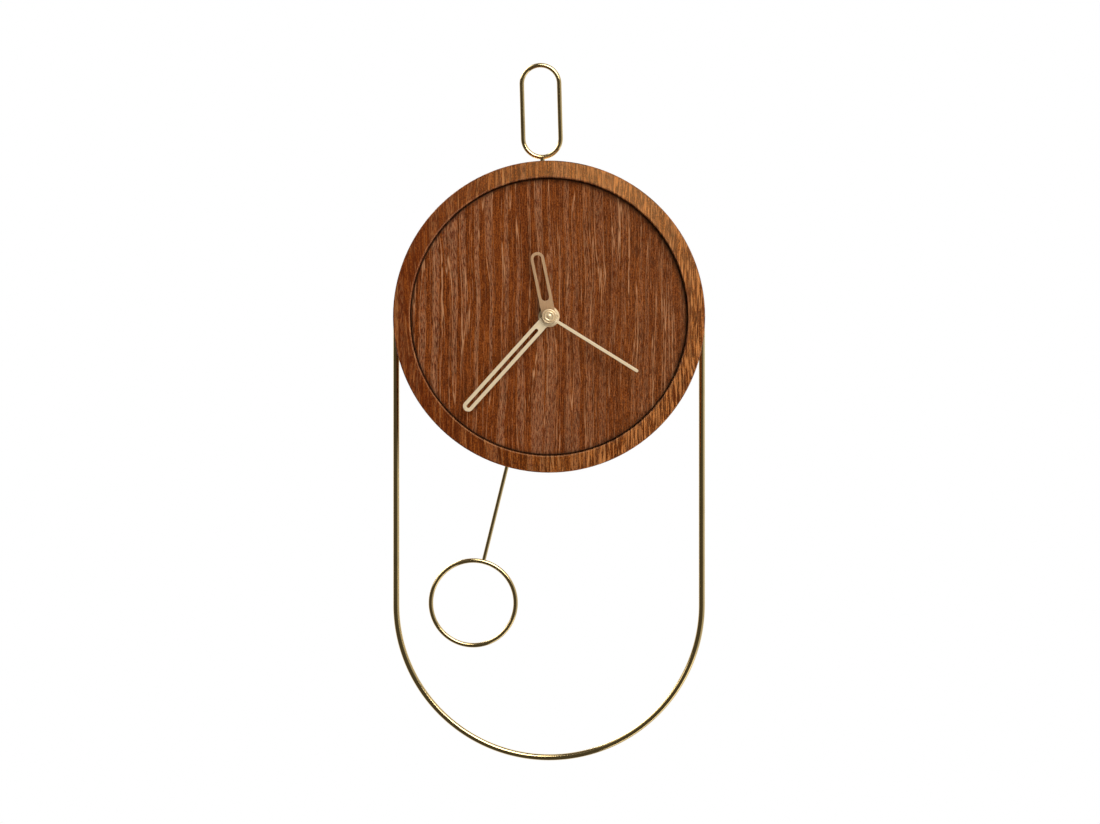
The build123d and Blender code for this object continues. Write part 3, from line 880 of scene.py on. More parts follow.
@dataclass(frozen=True)
class SleeveFinish(Finish):
    """Plain two-colour sleeve of a dry cell with bare metal ends."""

    sleeve_end: float
    band_start: float
    sleeve: Colour = srgb(34, 38, 44)
    band: Colour = srgb(178, 118, 62)
    band_metal: float = 0.6
    steel: Colour = (0.62, 0.62, 0.60, 1.0)
    scuff: Cloud = Cloud((0.5, 1.5, 1.5), 3.0, 0.6)
    scuff_step: Span = (0.55, 0.8)
    scuff_share: float = 0.2
    roughness: float = 0.26
    scuff_rough: float = 0.16
    relief: Relief = Relief(0.02 * MM, 0.3)

    def paint(self, graph: Graph) -> dict[str, Value]:
        """Divide the cell along its length.

        Args:
            graph: Empty graph.

        Returns:
            Sockets of the surface shader.
        """
        along = graph.millimetres()[0]
        bare = abs(along) > self.sleeve_end / MM
        band = along > self.band_start / MM
        scuff = self.scuff.read(graph)
        colour = graph.mix(band, self.sleeve, self.band)
        colour = Stain(self.steel, self.scuff_share, self.scuff_step).over(graph, colour, scuff)
        return {
            "Base Color": graph.mix(bare, colour, self.steel),
            "Metallic": (band * self.band_metal).toward(1.0, bare),
            "Roughness": self.roughness + scuff * self.scuff_rough,
            "Normal": self.relief.normal(graph, scuff),
        }


@dataclass(frozen=True)
class BoardFinish(Finish):
    """Green solder mask over copper tracks."""

    track_pitch: float = 1.3 * MM
    track_step: Span = (0.1, 0.4)
    kink_grains: float = 0.3
    kink_reach: float = 4.0
    mask: Colour = srgb(22, 92, 48)
    track: Colour = srgb(46, 132, 72)
    roughness: float = 0.34
    track_rough: float = 0.1
    relief: Relief = Relief(0.03 * MM, 0.5)

    def paint(self, graph: Graph) -> dict[str, Value]:
        """Run tracks along the board.

        Args:
            graph: Empty graph.

        Returns:
            Sockets of the surface shader.
        """
        x, _, z = graph.millimetres()
        kink = graph.noise(graph.vector(0.0, 0.0, z * self.kink_grains), detail=0.0)
        phase = (x + kink * self.kink_reach) * (2 * math.pi * MM / self.track_pitch)
        tracks = phase.wave().between(*self.track_step)
        return {
            "Base Color": graph.mix(tracks, self.mask, self.track),
            "Roughness": self.roughness + tracks * self.track_rough,
            "Normal": self.relief.normal(graph, tracks),
        }


@dataclass(frozen=True)
class Extent:
    """Box of a CAD node, from its low to its high corner."""

    low: Vector
    high: Vector

    @property
    def size(self) -> Vector:
        """Width, depth and height."""
        return self.high - self.low

    @property
    def middle(self) -> Vector:
        """Middle of the box."""
        return (self.low + self.high) / 2

    @property
    def back(self) -> float:
        """Distance of the back from the wall."""
        return -self.high.y

    @property
    def front(self) -> float:
        """Distance of the front from the wall."""
        return -self.low.y


def facing(out: float, x: float = 0.0, z: float = 0.0, turn: float = 0.0) -> Matrix:
    """Placing that stands a flat drawing against the dial.

    Args:
        out: Distance of its plane from the wall.
        x: Place to the right.
        z: Place upwards.
        turn: Clock angle, in degrees, that the drawing's +Y points to.

    Returns:
        Matrix from the drawing, which faces +Z, to the clock.
    """
    angle = math.radians(turn)
    rows = (
        (math.cos(angle), math.sin(angle), 0.0, x),
        (0.0, 0.0, -1.0, -out),
        (-math.sin(angle), math.cos(angle), 0.0, z),
        (0.0, 0.0, 0.0, 1.0),
    )
    return Matrix(rows)


def arc(x: float, y: float, radius: float, start: float, end: float, steps: int) -> Outline:
    """Points along an arc.

    Args:
        x: Centre to the right.
        y: Centre upwards.
        radius: Radius.
        start: First angle in degrees, from +X anticlockwise.
        end: Last angle.
        steps: Number of spans.

    Returns:
        Points with both ends.
    """
    angles = [math.radians(start + (end - start) * i / steps) for i in range(steps + 1)]
    return [(x + radius * math.cos(a), y + radius * math.sin(a)) for a in angles]


def circle(radius: float, steps: int = 96) -> Outline:
    """Closed circle about the drawing's origin, run clockwise as a hole is."""
    return arc(0.0, 0.0, radius, 360.0, 360.0 / steps, steps - 1)


def new_object(name: str, data: bpy.types.ID) -> bpy.types.Object:
    """Put data into the scene as an object.

    Args:
        name: Name of the object.
        data: Its mesh, curve, camera or light.

    Returns:
        The object.
    """
    made = bpy.data.objects.new(name, data)
    bpy.context.scene.collection.objects.link(made)
    return made


def settle(made: bpy.types.Object, material: bpy.types.Material, sharp: float) -> None:
    """Give a finished mesh its material and its smooth and sharp edges.

    Args:
        made: The object.
        material: Its material.
        sharp: Angle, in degrees, above which an edge stays sharp.
    """
    made.data.materials.clear()
    made.data.materials.append(material)
    made.data.shade_smooth()
    made.data.set_sharp_from_angle(angle=math.radians(sharp))


def baked(carrier: bpy.types.Object, name: str, place: Matrix) -> bpy.types.Object:
    """Turn what an object evaluates to into a plain mesh in its place.

    Args:
        carrier: Curve or object with modifiers, which is removed.
        name: Name of the new object.
        place: Where the mesh goes.

    Returns:
        The new object, at the origin.
    """
    depsgraph = bpy.context.evaluated_depsgraph_get()
    mesh = bpy.data.meshes.new_from_object(carrier.evaluated_get(depsgraph))
    carrier.modifiers.clear()
    bpy.data.objects.remove(carrier)
    mesh.transform(place)
    mesh.name = name
    return new_object(name, mesh)


def flat_solid(
    name: str, outlines: Sequence[Outline], place: Matrix, thickness: float, softness: float
) -> bpy.types.Object:
    """Cut a plate with rounded edges.

    Args:
        name: Name of the object.
        outlines: Outer outline run anticlockwise, then holes run clockwise.
        place: Placing of the plate's back plane.
        thickness: Thickness of the plate.
        softness: Radius of its edges.

    Returns:
        The plate.
    """
    curve = bpy.data.curves.new(name, "CURVE")
    curve.dimensions = "2D"
    curve.fill_mode = "BOTH"
    curve.extrude = thickness / 2 - softness
    curve.bevel_depth = softness
    curve.bevel_resolution = 2
    curve.offset = -softness
    for outline in outlines:
        spline = curve.splines.new("POLY")
        spline.points.add(len(outline) - 1)
        for point, (x, y) in zip(spline.points, outline):
            point.co = (x, y, 0.0, 1.0)
        spline.use_cyclic_u = True
    lift = Matrix.Translation((0.0, 0.0, thickness / 2))
    return baked(new_object(name, curve), name, place @ lift)


def turned(name: str, profile: Sequence[Span], steps: int = 96) -> bpy.types.Object:
    """Turn a profile about the axis of the hands.

    Args:
        name: Name of the object.
        profile: Radius and distance from the wall of each corner, round the section.
        steps: Number of spans round the axis.

    Returns:
        The turned piece.
    """
    shape = bmesh.new()
    angles = [2 * math.pi * step / steps for step in range(steps)]
    rows = [
        [shape.verts.new((radius * math.sin(a), -out, radius * math.cos(a))) for a in angles]
        for radius, out in profile
    ]
    for row, following in zip(rows, rows[1:] + rows[:1]):
        for step in range(steps):
            after = (step + 1) % steps
            shape.faces.new((row[step], row[after], following[after], following[step]))
    return from_bmesh(name, shape)


def from_bmesh(
    name: str, shape: bmesh.types.BMesh, weld: float = 1e-7, sliver: float = 1e-8
) -> bpy.types.Object:
    """Close a bmesh, turn its faces outwards and put it into the scene.

    Args:
        name: Name of the object.
        shape: The bmesh, which is freed.
        weld: Points closer than this become one.
        sliver: Edges and faces smaller than this go.

    Returns:
        The object.
    """
    bmesh.ops.remove_doubles(shape, verts=shape.verts, dist=weld)
    bmesh.ops.dissolve_degenerate(shape, edges=shape.edges, dist=sliver)
    bmesh.ops.recalc_face_normals(shape, faces=shape.faces)
    mesh = bpy.data.meshes.new(name)
    shape.to_mesh(mesh)
    shape.free()
    return new_object(name, mesh)


def softened(
    node: str, name: str, width: float, sharp: float = 35.0, flat: float = 0.5
) -> bpy.types.Object:
    """Copy a CAD node with its sharp edges rounded.

    Args:
        node: CAD node to copy.
        name: Name of the copy.
        width: Width of the rounding.
        sharp: Angle, in degrees, above which an edge is rounded.
        flat: Angle, in degrees, below which faces are joined first.

    Returns:
        The copy.
    """
    shape = bmesh.new()
    shape.from_mesh(frame["nodes"][node].data)
    bmesh.ops.remove_doubles(shape, verts=shape.verts, dist=WELD)
    joined = math.radians(flat)
    bmesh.ops.dissolve_limit(shape, angle_limit=joined, verts=shape.verts, edges=shape.edges)
    limit = math.radians(sharp)
    edges = [edge for edge in shape.edges if edge.is_manifold and edge.calc_face_angle() > limit]
    bmesh.ops.bevel(
        shape,
        geom=edges,
        offset=width,
        offset_type="OFFSET",
        segments=2,
        profile=0.5,
        affect="EDGES",
        clamp_overlap=True,
    )
    return from_bmesh(name, shape)


def ship(piece: bpy.types.Object, body: str, slot: Slot, *nodes: str) -> None:
    """Tie a finished piece to its body and hide the CAD nodes that it stands for.

    Args:
        piece: The piece.
        body: CAD body that it rides on.
        slot: Material slot of the record; not used.
        nodes: CAD nodes that it replaces.
    """
    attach(piece, body)
    if nodes:
        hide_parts(*nodes)
    LOG.info("%s: %d faces on %s", piece.name, len(piece.data.polygons), body)


def moulded(
    node: str, body: str, slot: Slot, material: bpy.types.Material, edge: float, sharp: float = 20.0
) -> None:
    """Stand a copy with rounded edges in for a moulded CAD node.

    Args:
        node: CAD node.
        body: CAD body that it rides on.
        slot: Material slot of the record.
        material: Its material.
        edge: Width of the rounding.
        sharp: Angle, in degrees, above which an edge of the copy stays sharp.
    """
    piece = softened(node, f"{node}_moulding", edge)
    settle(piece, material, sharp)
    ship(piece, body, slot, node)


def dress(material: bpy.types.Material, *nodes: str) -> None:
    """Give CAD nodes that stay a better material.

    Args:
        material: Material that they share.
        nodes: The nodes.
    """
    for node in nodes:
        materials = frame["nodes"][node].data.materials
        materials.clear()
        materials.append(material)
        LOG.info("%s: dressed in %s", node, material.name)


class WirePath(Enum):
    """Lines that a wire can follow."""

    OVAL = "oval"
    RING = "ring"
    STRAIGHT = "straight"


class WireTree:
    """Geometry nodes that bend a round wire along an oval, a ring or a straight line."""

    SIZES = ("Width", "Height", "Wire radius")
    # Radius of an oval's bends, just under half its width so that two bends never meet.
    BEND_SHARE = 0.4995

    def __init__(self, path: WirePath, bend_steps: int = 64, sides: int = 24) -> None:
        """Build the tree.

        Args:
            path: Line that the wire follows.
            bend_steps: Spans of each quarter bend.
            sides: Sides of the wire.
        """
        self.path = path
        self.bend_steps = bend_steps
        self.tree = bpy.data.node_groups.new(f"bent wire {path.value}", "GeometryNodeTree")
        face = self.tree.interface
        face.new_socket(name="Geometry", in_out="OUTPUT", socket_type="NodeSocketGeometry")
        for size in self.SIZES:
            face.new_socket(name=size, in_out="INPUT", socket_type="NodeSocketFloat")
        face.new_socket(name="Finish", in_out="INPUT", socket_type="NodeSocketMaterial")
        graph = Graph(self.tree)
        width, height, radius, finish = graph.outlets("NodeGroupInput", (*self.SIZES, "Finish"))
        line = self.line(graph, width, height)
        section = graph.node(
            "GeometryNodeCurvePrimitiveCircle",
            {"mode": "RADIUS"},
            {"Resolution": sides, "Radius": radius},
        )
        sweep = {"Curve": line, "Profile Curve": section, "Fill Caps": True}
        wire = graph.node("GeometryNodeCurveToMesh", {}, sweep)
        wire = graph.node("GeometryNodeMergeByDistance", {}, {"Geometry": wire, "Distance": WELD})
        wire = graph.node("GeometryNodeRealizeInstances", {}, {"Geometry": wire})
        wire = graph.node("GeometryNodeSetMaterial", {}, {"Geometry": wire, "Material": finish})
        graph.node("NodeGroupOutput", {}, {"Geometry": wire})

    def line(self, graph: Graph, width: Term, height: Term) -> Term:
        """Line of the wire's middle.

        Args:
            graph: Graph of the tree.
            width: Width of the oval or the ring.
            height: Height of the oval or length of the straight wire.

        Returns:
            The curve.
        """
        if self.path is WirePath.RING:
            sockets = {"Resolution": 4 * self.bend_steps, "Radius": width / 2.0}
            return graph.node("GeometryNodeCurvePrimitiveCircle", {"mode": "RADIUS"}, sockets)
        if self.path is WirePath.STRAIGHT:
            end = graph.vector(0.0, height, 0.0)
            return graph.node("GeometryNodeCurvePrimitiveLine", {"mode": "POINTS"}, {"End": end})
        box = graph.node(
            "GeometryNodeCurvePrimitiveQuadrilateral",
            {"mode": "RECTANGLE"},
            {"Width": width, "Height": height},
        )
        bends = {
            "Curve": box,
            "Count": self.bend_steps,
            "Radius": width * self.BEND_SHARE,
            "Limit Radius": True,
        }
        return graph.node("GeometryNodeFilletCurve", {"mode": "POLY"}, bends)

    def bend(
        self,
        name: str,
        width: float,
        height: float,
        radius: float,
        finish: bpy.types.Material,
        place: Matrix,
    ) -> bpy.types.Object:
        """Make a wire.

        Args:
            name: Name of the object.
            width: Width between the wire's middles.
            height: Height between the wire's middles.
            radius: Radius of the wire.
            finish: Material of the wire.
            place: Where it goes.

        Returns:
            The wire as a plain mesh.
        """
        host = new_object(name, bpy.data.meshes.new(name))
        modifier = host.modifiers.new("bent wire", "NODES")
        modifier.node_group = self.tree
        values = {"Width": width, "Height": height, "Wire radius": radius, "Finish": finish}
        for item in self.tree.interface.items_tree:
            if item.in_out == "INPUT":
                modifier[item.identifier] = values[item.name]
        made = baked(host, name, place)
        made.data.shade_smooth()
        return made


@dataclass
class Case:
    """Veneered case ring and dial."""

    edge: float = 0.6 * MM
    back_margin: float = 0.4 * MM
    slot_half: float = 36.0 * MM
    slot_top: float = 11.2 * MM
    bore_radius: float = 88.0 * MM
    bore_top: float = 33.6 * MM
    # Painted highlight: how far outside the dial's edge the pale line on the rim's inner edge lies.
    highlight_offset: float = 0.95 * MM
    # Painted shade: where the darkened recess corner starts and becomes full, inside the dial's
    # edge.
    corner_start: float = 1.0 * MM
    corner_full: float = 0.3 * MM
    dial_seed: float = 0.6

    def build(self) -> None:
        """Dress the case and the dial."""
        ring = Extent(*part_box("case_ring"))
        dial = Extent(*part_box("dial_panel"))
        hoop = Extent(*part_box("wire_frame"))
        outer = ring.size.x / 2
        veneer = VeneerFinish(
            name="case veneer",
            raw_below=hoop.front + self.back_margin,
            side_radius=outer - self.edge,
            slot_half=self.slot_half,
            slot_top=self.slot_top,
            bore_radius=self.bore_radius,
            bore_top=self.bore_top,
            highlight_radius=dial.high.x + self.highlight_offset,
            shade=VeneerFinish.shade.tinted(srgb(28, 4, 0)),
            light=VeneerFinish.light.tinted(srgb(226, 134, 50)),
            pore=VeneerFinish.pore.tinted(srgb(200, 136, 82)),
            streak=0.6,
            # Painted shade of the left side.
            left_shade=0.8,
            gloss=0.78,
            sheen=(1.0, 0.56, 0.21, 1.0),
        )
        dress(veneer.material(), "case_ring")
        panel = VeneerFinish(
            name="dial veneer",
            raw_below=dial.front - self.edge,
            side_radius=outer,
            seed=self.dial_seed,
            corner=(dial.high.x - self.corner_start, dial.high.x - self.corner_full),
        )
        dress(panel.material(), "dial_panel")


@dataclass
class WireWork:
    """Brass frame, hanging loop, tabs and screws behind the case."""

    loop_width: float = 27.2 * MM
    loop_height: float = 62.5 * MM
    loop_lean: float = -1.5
    foot_length: float = 5.2 * MM
    steel: Colour = (0.66, 0.65, 0.62, 1.0)
    steel_stain: Colour = (0.42, 0.40, 0.36, 1.0)

    def build(self) -> None:
        """Bend the wires and dress the tabs and screws."""
        brass = BrassFinish("frame brass").material()
        ovals = WireTree(WirePath.OVAL)
        box = Extent(*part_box("wire_frame"))
        hoop = ovals.bend(
            "frame_hoop",
            box.size.x - box.size.y,
            box.size.z - box.size.y,
            box.size.y / 2,
            brass,
            facing(-box.middle.y, 0.0, box.middle.z),
        )
        ship(hoop, "case", Slot.BRASS, "wire_frame")
        self.build_loop(ovals, brass)
        dress(brass, "frame_tabs")
        steel = MetalFinish("screw steel", self.steel, self.steel_stain)
        dress(steel.material(), "tab_screws")

    def build_loop(self, ovals: WireTree, brass: bpy.types.Material) -> None:
        """Bend the loop on its foot.

        Args:
            ovals: Tree that bends ovals.
            brass: Material of the wire.
        """
        box = Extent(*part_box("hanging_loop"))
        thick = box.size.y
        out = -box.middle.y
        lean = math.radians(self.loop_lean)
        half_straight = (self.loop_height - self.loop_width) / 2
        x = box.middle.x
        z = box.high.z - self.loop_width / 2 - half_straight * math.cos(lean)
        loop = ovals.bend(
            "hanging_loop_wire",
            self.loop_width - thick,
            self.loop_height - thick,
            thick / 2,
            brass,
            facing(out, x, z, self.loop_lean),
        )
        ship(loop, "case", Slot.BRASS, "hanging_loop")
        below = (self.loop_height - thick) / 2 + self.foot_length
        foot = WireTree(WirePath.STRAIGHT).bend(
            "hanging_loop_foot",
            0.0,
            self.foot_length,
            thick / 2,
            brass,
            facing(out, x - below * math.sin(lean), z - below * math.cos(lean), self.loop_lean),
        )
        ship(foot, "case", Slot.BRASS)


@dataclass(frozen=True)
class Hand:
    """Sizes and colours of one flat hand."""

    node: str
    body: str
    turn: float
    length: float
    width: float
    base: float
    bore: float
    colour: Colour
    edge: Colour
    slot_width: float = 0.0
    slot_start: float = 0.0
    arc_steps: int = 24

    def outlines(self) -> list[Outline]:
        """Outer outline with its slot and bore.

        Returns:
            Outer outline, then the holes.
        """
        half = self.width / 2
        top = self.length - half
        tip = arc(0.0, top, half, 0.0, 180.0, self.arc_steps)
        lean = math.degrees(math.acos(min(1.0, self.width / self.base)))
        root = arc(0.0, 0.0, self.base / 2, 180.0 - lean, 360.0 + lean, 2 * self.arc_steps)
        shapes = [tip + root, circle(self.bore)]
        if self.slot_width:
            slot_half = self.slot_width / 2
            slot = arc(0.0, top, slot_half, 180.0, 0.0, self.arc_steps)
            bottom = self.slot_start + slot_half
            slot += arc(0.0, bottom, slot_half, 0.0, -180.0, self.arc_steps)
            shapes.append(slot)
        return shapes


@dataclass
class HandSet:
    """Three hands, their cap and the nut and washer under them."""

    softness: float = 0.18 * MM
    blade_sharp: float = 40.0
    cap_sharp: float = 55.0
    bright: Colour = srgb(234, 214, 178)
    bright_edge: Colour = srgb(222, 199, 160)
    # Painted shade: the hour hand's copy of the same champagne metal, darker for how its brushed
    # face catches the light.
    shaded_champagne: Colour = srgb(196, 157, 115)
    shaded_champagne_edge: Colour = srgb(164, 128, 92)
    cap_colour: Colour = srgb(242, 212, 168)
    nut_colour: Colour = srgb(244, 220, 178)
    rim_drop: float = 0.9 * MM
    bevel_inset: float = 0.7 * MM
    bevel_drop: float = 0.62 * MM
    groove_start: float = 0.9 * MM
    groove_end: float = 1.1 * MM
    groove_drop: float = 0.8 * MM
    button_inset: float = 1.25 * MM
    ring_start: float = 2.55 * MM
    ring_end: float = 3.05 * MM
    ring_slope: float = 0.1 * MM
    ring_drop: float = 0.14 * MM

    def hands(self) -> tuple[Hand, ...]:
        """Sizes of the three hands.

        Returns:
            The hands from the dial outwards.
        """
        return (
            Hand(
                node="hour_hand", body="hour_train", turn=348.5,
                length=42.0 * MM, width=8.9 * MM, base=8.9 * MM, bore=2.52 * MM,
                # Painted shade: the hour hand takes the darker copy of the champagne metal.
                colour=self.shaded_champagne, edge=self.shaded_champagne_edge,
                slot_width=5.0 * MM, slot_start=10.3 * MM,
            ),
            Hand(
                node="minute_hand", body="minute_train", turn=222.0,
                length=80.7 * MM, width=6.9 * MM, base=9.6 * MM, bore=1.52 * MM,
                colour=self.bright, edge=self.bright_edge,
                slot_width=2.2 * MM, slot_start=11.0 * MM,
            ),
            Hand(
                node="second_hand", body="second_train", turn=121.8,
                length=67.0 * MM, width=2.0 * MM, base=9.2 * MM, bore=0.52 * MM,
                colour=self.bright, edge=self.bright_edge,
            ),
        )

    def build(self) -> None:
        """Cut the hands, turn the cap and dress the nut, the washer and the bush."""
        for hand in self.hands():
            box = Extent(*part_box(hand.node))
            blade = flat_solid(
                f"{hand.node}_blade",
                hand.outlines(),
                facing(box.back, turn=hand.turn),
                box.size.y,
                self.softness,
            )
            finish = BrushedFinish(f"{hand.node} metal", hand.turn, hand.colour, hand.edge)
            settle(blade, finish.material(), self.blade_sharp)
            ship(blade, hand.body, Slot.CHAMPAGNE, hand.node)
        self.build_cap()
        nut = TurnedFinish("nut brass", self.nut_colour, metal=0.3)
        dress(nut.material(), "nut_washer", "fixing_nut", "threaded_bush")

    def build_cap(self) -> None:
        """Turn the cap with its rim, groove, button and ring."""
        box = Extent(*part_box("hand_cap"))
        back, front = box.back, box.front
        rim = box.size.x / 2
        soft = self.softness
        button = rim - self.button_inset
        profile = [
            (0.0, back),
            (rim, back),
            (rim, front - self.rim_drop),
            (rim - soft, front - self.rim_drop + soft),
            (rim - self.bevel_inset, front - self.bevel_drop),
            (rim - self.groove_start, front - self.groove_drop),
            (rim - self.groove_end, front - self.groove_drop),
            (button, front - soft),
            (button - soft, front),
            (rim - self.ring_start, front),
            (rim - self.ring_start - self.ring_slope, front - self.ring_drop),
            (rim - self.ring_end + self.ring_slope, front - self.ring_drop),
            (rim - self.ring_end, front),
            (0.0, front),
        ]
        cap = turned("hand_cap_turned", profile)
        finish = TurnedFinish("cap metal", self.cap_colour, metal=0.55)
        settle(cap, finish.material(), self.cap_sharp)
        ship(cap, "second_train", Slot.CHAMPAGNE, "hand_cap")


@dataclass
class Movement:
    """Quartz movement behind the dial, with its cell, motor and train."""

    shell_edge: float = 0.35 * MM
    knob_edge: float = 0.12 * MM
    cell_cap: float = 1.3 * MM
    band_share: float = 0.24

    def build(self) -> None:
        """Round the shells and the knob and dress everything in them."""
        black = MouldedFinish("housing plastic", (0.018, 0.018, 0.020, 1.0), 0.42).material()
        for node in ("front_shell", "rear_cover"):
            moulded(node, "case", Slot.HOUSING, black, self.shell_edge)
        grey = MouldedFinish("knob plastic", (0.05, 0.05, 0.055, 1.0), 0.4).material()
        moulded("setting_knob", "setting", Slot.KNOB, grey, self.knob_edge)
        self.dress_cell()
        self.dress_train()

    def dress_cell(self) -> None:
        """Dress the cell and its contacts."""
        length = Extent(*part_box("battery")).size.x
        sleeve = SleeveFinish("cell sleeve", length / 2 - self.cell_cap, length * self.band_share)
        dress(sleeve.material(), "battery")
        spring = MetalFinish(
            "contact steel", (0.70, 0.69, 0.66, 1.0), (0.5, 0.48, 0.44, 1.0), roughness=0.24
        )
        dress(spring.material(), "battery_contacts")

    def dress_train(self) -> None:
        """Dress the gasket, the wheels, the motor and the electronics."""
        rubber = MouldedFinish(
            "gasket rubber", (0.012, 0.012, 0.012, 1.0), 0.75, Cloud(1.4, 3.0, 0.6)
        )
        acetal = MouldedFinish(
            "wheel acetal", (0.80, 0.78, 0.71, 1.0), 0.42, Cloud(3.0, 3.0, 0.6), lift=1.1
        )
        ferrite = MetalFinish(
            "ferrite", (0.09, 0.09, 0.10, 1.0), (0.16, 0.15, 0.15, 1.0), roughness=0.5, metal=0.3
        )
        iron = MetalFinish(
            "soft iron", (0.46, 0.46, 0.47, 1.0), (0.30, 0.29, 0.28, 1.0), roughness=0.38
        )
        copper = MetalFinish(
            "enamelled copper", (0.62, 0.26, 0.11, 1.0), (0.44, 0.16, 0.06, 1.0), roughness=0.28
        )
        can = MetalFinish(
            "crystal can", (0.72, 0.72, 0.71, 1.0), (0.5, 0.5, 0.5, 1.0), roughness=0.2
        )
        wheels = (
            "second_wheel",
            "third_wheel",
            "centre_wheel",
            "minute_wheel",
            "hour_wheel",
            "intermediate_wheel",
            "rotor_pinion",
        )
        dress(rubber.material(), "dial_gasket")
        dress(acetal.material(), *wheels)
        dress(ferrite.material(), "rotor_magnet")
        dress(iron.material(), "motor_stator", "coil_core")
        dress(copper.material(), "motor_coil", "pendulum_coil")
        dress(can.material(), "quartz_crystal")
        dress(BoardFinish("board mask").material(), "circuit_board")


@dataclass
class Pendulum:
    """Ring, rod, hanger and magnet on the pivot pin."""

    rod_top: float = 36.0 * MM
    hanger_edge: float = 0.3 * MM

    def build(self) -> None:
        """Bend the ring and the rod and dress the hanger, the magnet and the pin."""
        self.build_wires(BrassFinish("pendulum brass").material())
        black = MouldedFinish("hanger plastic", (0.02, 0.02, 0.022, 1.0), 0.45).material()
        moulded("pendulum_hanger", "pendulum", Slot.HOUSING, black, self.hanger_edge)
        ferrite = MetalFinish(
            "drive ferrite",
            (0.10, 0.10, 0.11, 1.0),
            (0.2, 0.19, 0.18, 1.0),
            roughness=0.45,
            metal=0.3,
        )
        dress(ferrite.material(), "drive_magnet")
        steel = MetalFinish(
            "pin steel", (0.68, 0.67, 0.64, 1.0), (0.5, 0.48, 0.44, 1.0), roughness=0.22
        )
        dress(steel.material(), "pivot_pin")

    def build_wires(self, brass: bpy.types.Material) -> None:
        """Bend the ring and stand the rod on it, in line with the pivot.

        Args:
            brass: Material of the wires.
        """
        box = Extent(*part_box("pendulum_ring"))
        middle = box.middle
        width = box.size.x - box.size.y
        ring = WireTree(WirePath.RING).bend(
            "pendulum_ring_wire",
            width,
            0.0,
            box.size.y / 2,
            brass,
            facing(-middle.y, middle.x, middle.z),
        )
        ship(ring, "pendulum", Slot.BRASS, "pendulum_ring")
        swing = next(j for j in frame["joints"] if j["name"] == "pendulum_swing")
        pivot_x, _, pivot_z = swing["pos_m"]
        reach = Vector((pivot_x - middle.x, pivot_z - middle.z))
        foot = reach.normalized() * (width / 2)
        rod = WireTree(WirePath.STRAIGHT).bend(
            "pendulum_rod_wire",
            0.0,
            reach.length - self.rod_top - width / 2,
            Extent(*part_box("pendulum_rod")).size.y / 2,
            brass,
            facing(
                -middle.y,
                middle.x + foot.x,
                middle.z + foot.y,
                math.degrees(math.atan2(reach.x, reach.y)),
            ),
        )
        ship(rod, "pendulum", Slot.BRASS, "pendulum_rod")


@dataclass(frozen=True)
class Lamp:
    """A square soft lamp that points at the dial, with its power in watts."""

    name: str
    place: tuple[float, float, float]
    size: float
    power: float
    mirrored: bool = True

    def hang(self) -> None:
        """Put the lamp into the scene."""
        data = bpy.data.lights.new(f"{self.name} lamp", "AREA")
        data.size = self.size
        data.energy = self.power
        lamp = new_object(f"{self.name} lamp", data)
        lamp.location = self.place
        lamp.rotation_euler = Vector(self.place).to_track_quat("Z", "Y").to_euler()
        lamp.visible_glossy = self.mirrored


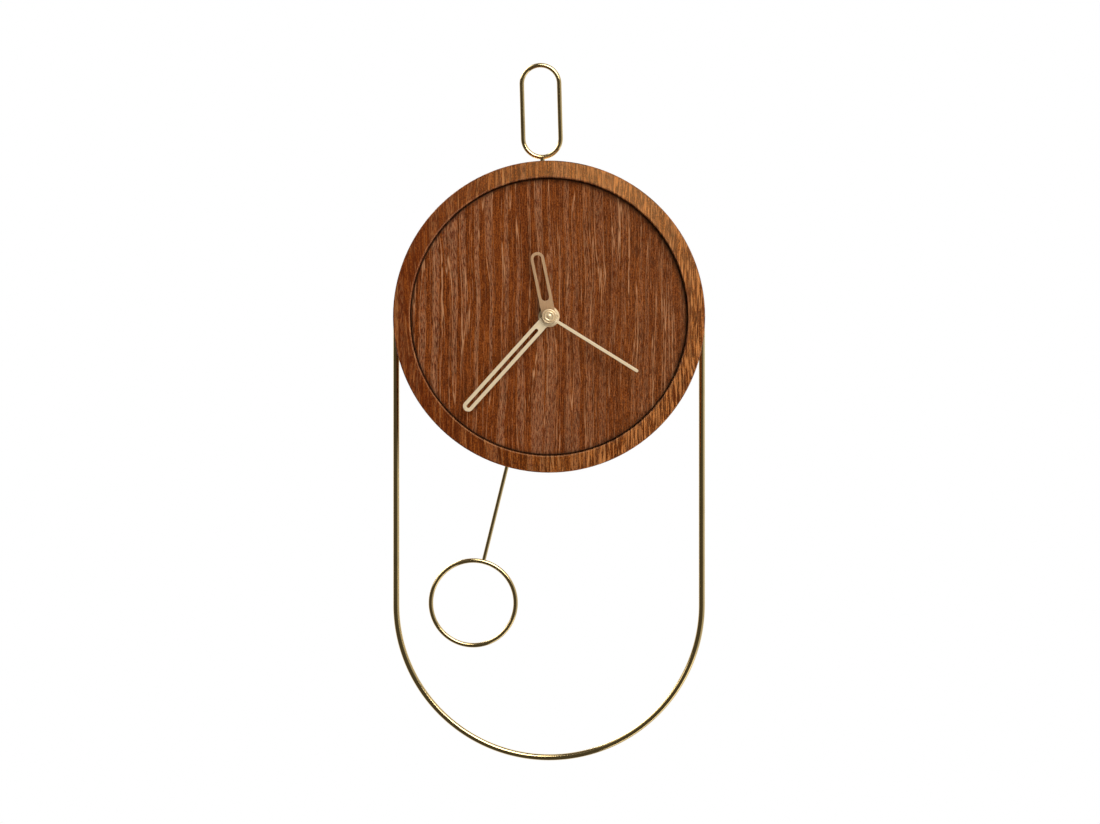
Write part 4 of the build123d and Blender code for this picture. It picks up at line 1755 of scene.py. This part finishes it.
@dataclass
class Studio:
    """Camera, soft lamps, white surroundings and a pale floor.

    Spans of the surroundings are shares of a direction of unit length.
    """

    photo_width: float = 1100.0
    dial_pixel: float = 0.64 * MM
    camera_distance: float = 3.0
    camera_drop: float = 61.1 * MM
    camera_side: float = 0.6 * MM
    sensor: float = 36.0
    lamps: tuple[Lamp, ...] = (
        Lamp("key", (0.68, -1.54, 1.26), 1.4, 37.0),
        Lamp("fill", (1.05, -2.05, -0.60), 2.0, 27.0, mirrored=False),
        Lamp("rear", (-1.10, 1.60, 1.20), 1.1, 34.0),
    )
    ambient: float = 0.4
    white: Colour = (1.0, 1.0, 1.0, 1.0)
    rear_span: Span = (0.3, 0.65)
    camera_side_tone: Colour = (0.07, 0.065, 0.05, 1.0)
    ceiling_tone: Colour = (0.12, 0.115, 0.10, 1.0)
    ceiling_span: Span = (0.45, 0.7)
    panel_tone: Colour = (0.5, 0.5, 0.48, 1.0)
    panel_span: Span = (0.6, 0.74)
    board_tone: Colour = (2.2, 2.2, 2.15, 1.0)
    board_slant: Span = (0.28, 0.36)
    board_near: Span = (-0.38, -0.28)
    board_far: Span = (-0.08, 0.02)
    floor_drop: float = 1.8
    floor_size: float = 12.0
    floor_colour: Colour = (0.82, 0.82, 0.81, 1.0)
    floor_white: float = 0.96

    def build(self) -> None:
        """Set up the whole studio."""
        scene = bpy.context.scene
        scene.view_settings.view_transform = "Standard"
        self.place_camera(scene)
        for lamp in self.lamps:
            lamp.hang()
        self.surround(scene)
        self.lay_floor()

    def place_camera(self, scene: bpy.types.Scene) -> None:
        """Look straight at the dial as the photograph does.

        Args:
            scene: Scene that gets the camera.
        """
        data = bpy.data.cameras.new("photo camera")
        data.sensor_width = self.sensor
        data.lens = self.sensor * self.camera_distance / (self.photo_width * self.dial_pixel)
        camera = new_object("photo camera", data)
        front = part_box("case_ring")[0].y
        camera.location = (self.camera_side, front - self.camera_distance, -self.camera_drop)
        camera.rotation_euler = (math.pi / 2, 0.0, 0.0)
        scene.camera = camera

    def surround(self, scene: bpy.types.Scene) -> None:
        """White surroundings with a dim side where the camera stands.

        Two pale boards, up to the left and down to the right, show in mirrored rays alone.

        Args:
            scene: Scene that gets the world.
        """
        scene.world = bpy.data.worlds.new("white studio")
        graph = Graph.of(scene.world)
        right, depth, rise = graph.axes(graph.node("ShaderNodeTexCoord", {}, {}, "Generated"))
        kinds = ("Is Camera Ray", "Is Glossy Ray", "Is Transmission Ray")
        seen, mirrored, through = graph.outlets("ShaderNodeLightPath", kinds)
        tone = graph.mix(
            rise.between(*self.ceiling_span), self.camera_side_tone, self.ceiling_tone
        )
        tone = graph.mix(right.between(*self.panel_span), tone, self.panel_tone)
        boards = (0.0 - right * rise).between(*self.board_slant) * mirrored
        boards = boards * depth.between(*self.board_near) * (1 - depth.between(*self.board_far))
        tone = graph.mix(boards, tone, self.board_tone)
        tone = graph.mix(depth.between(*self.rear_span).larger(seen), tone, self.white)
        full = seen.larger(mirrored).larger(through)
        strength = full * (1 - self.ambient) + self.ambient
        light = graph.node("ShaderNodeBackground", {}, {"Color": tone, "Strength": strength})
        graph.node("ShaderNodeOutputWorld", {}, {"Surface": light})

    def lay_floor(self) -> None:
        """Lay a pale floor far below, white to the camera where no shadow falls."""
        half = self.floor_size / 2
        mesh = bpy.data.meshes.new("floor")
        corners = [(-half, -half), (half, -half), (half, half), (-half, half)]
        mesh.from_pydata([(x, y, -self.floor_drop) for x, y in corners], [], [(0, 1, 2, 3)])
        floor = new_object("floor", mesh)
        material = bpy.data.materials.new("pale floor")
        graph = Graph.of(material)
        kinds = ("Is Camera Ray", "Is Transmission Ray")
        seen, through = graph.outlets("ShaderNodeLightPath", kinds)
        matte = graph.node("ShaderNodeBsdfDiffuse", {}, {"Color": self.floor_colour})
        glow = graph.node("ShaderNodeEmission", {}, {"Color": self.white, "Strength": 1.0})
        share = seen.larger(through) * self.floor_white
        sockets = {"Fac": share, "Shader": matte, "Shader_001": glow}
        both = graph.node("ShaderNodeMixShader", {}, sockets)
        graph.node("ShaderNodeOutputMaterial", {}, {"Surface": both})
        mesh.materials.append(material)
        floor.visible_glossy = False


def main() -> None:
    """Build every sub-assembly, then the studio."""
    logging.basicConfig(level=logging.INFO, format="%(message)s")
    for assembly in (Case(), WireWork(), HandSet(), Movement(), Pendulum(), Studio()):
        LOG.info("building %s", type(assembly).__name__)
        assembly.build()


if __name__ == "__main__":
    main()
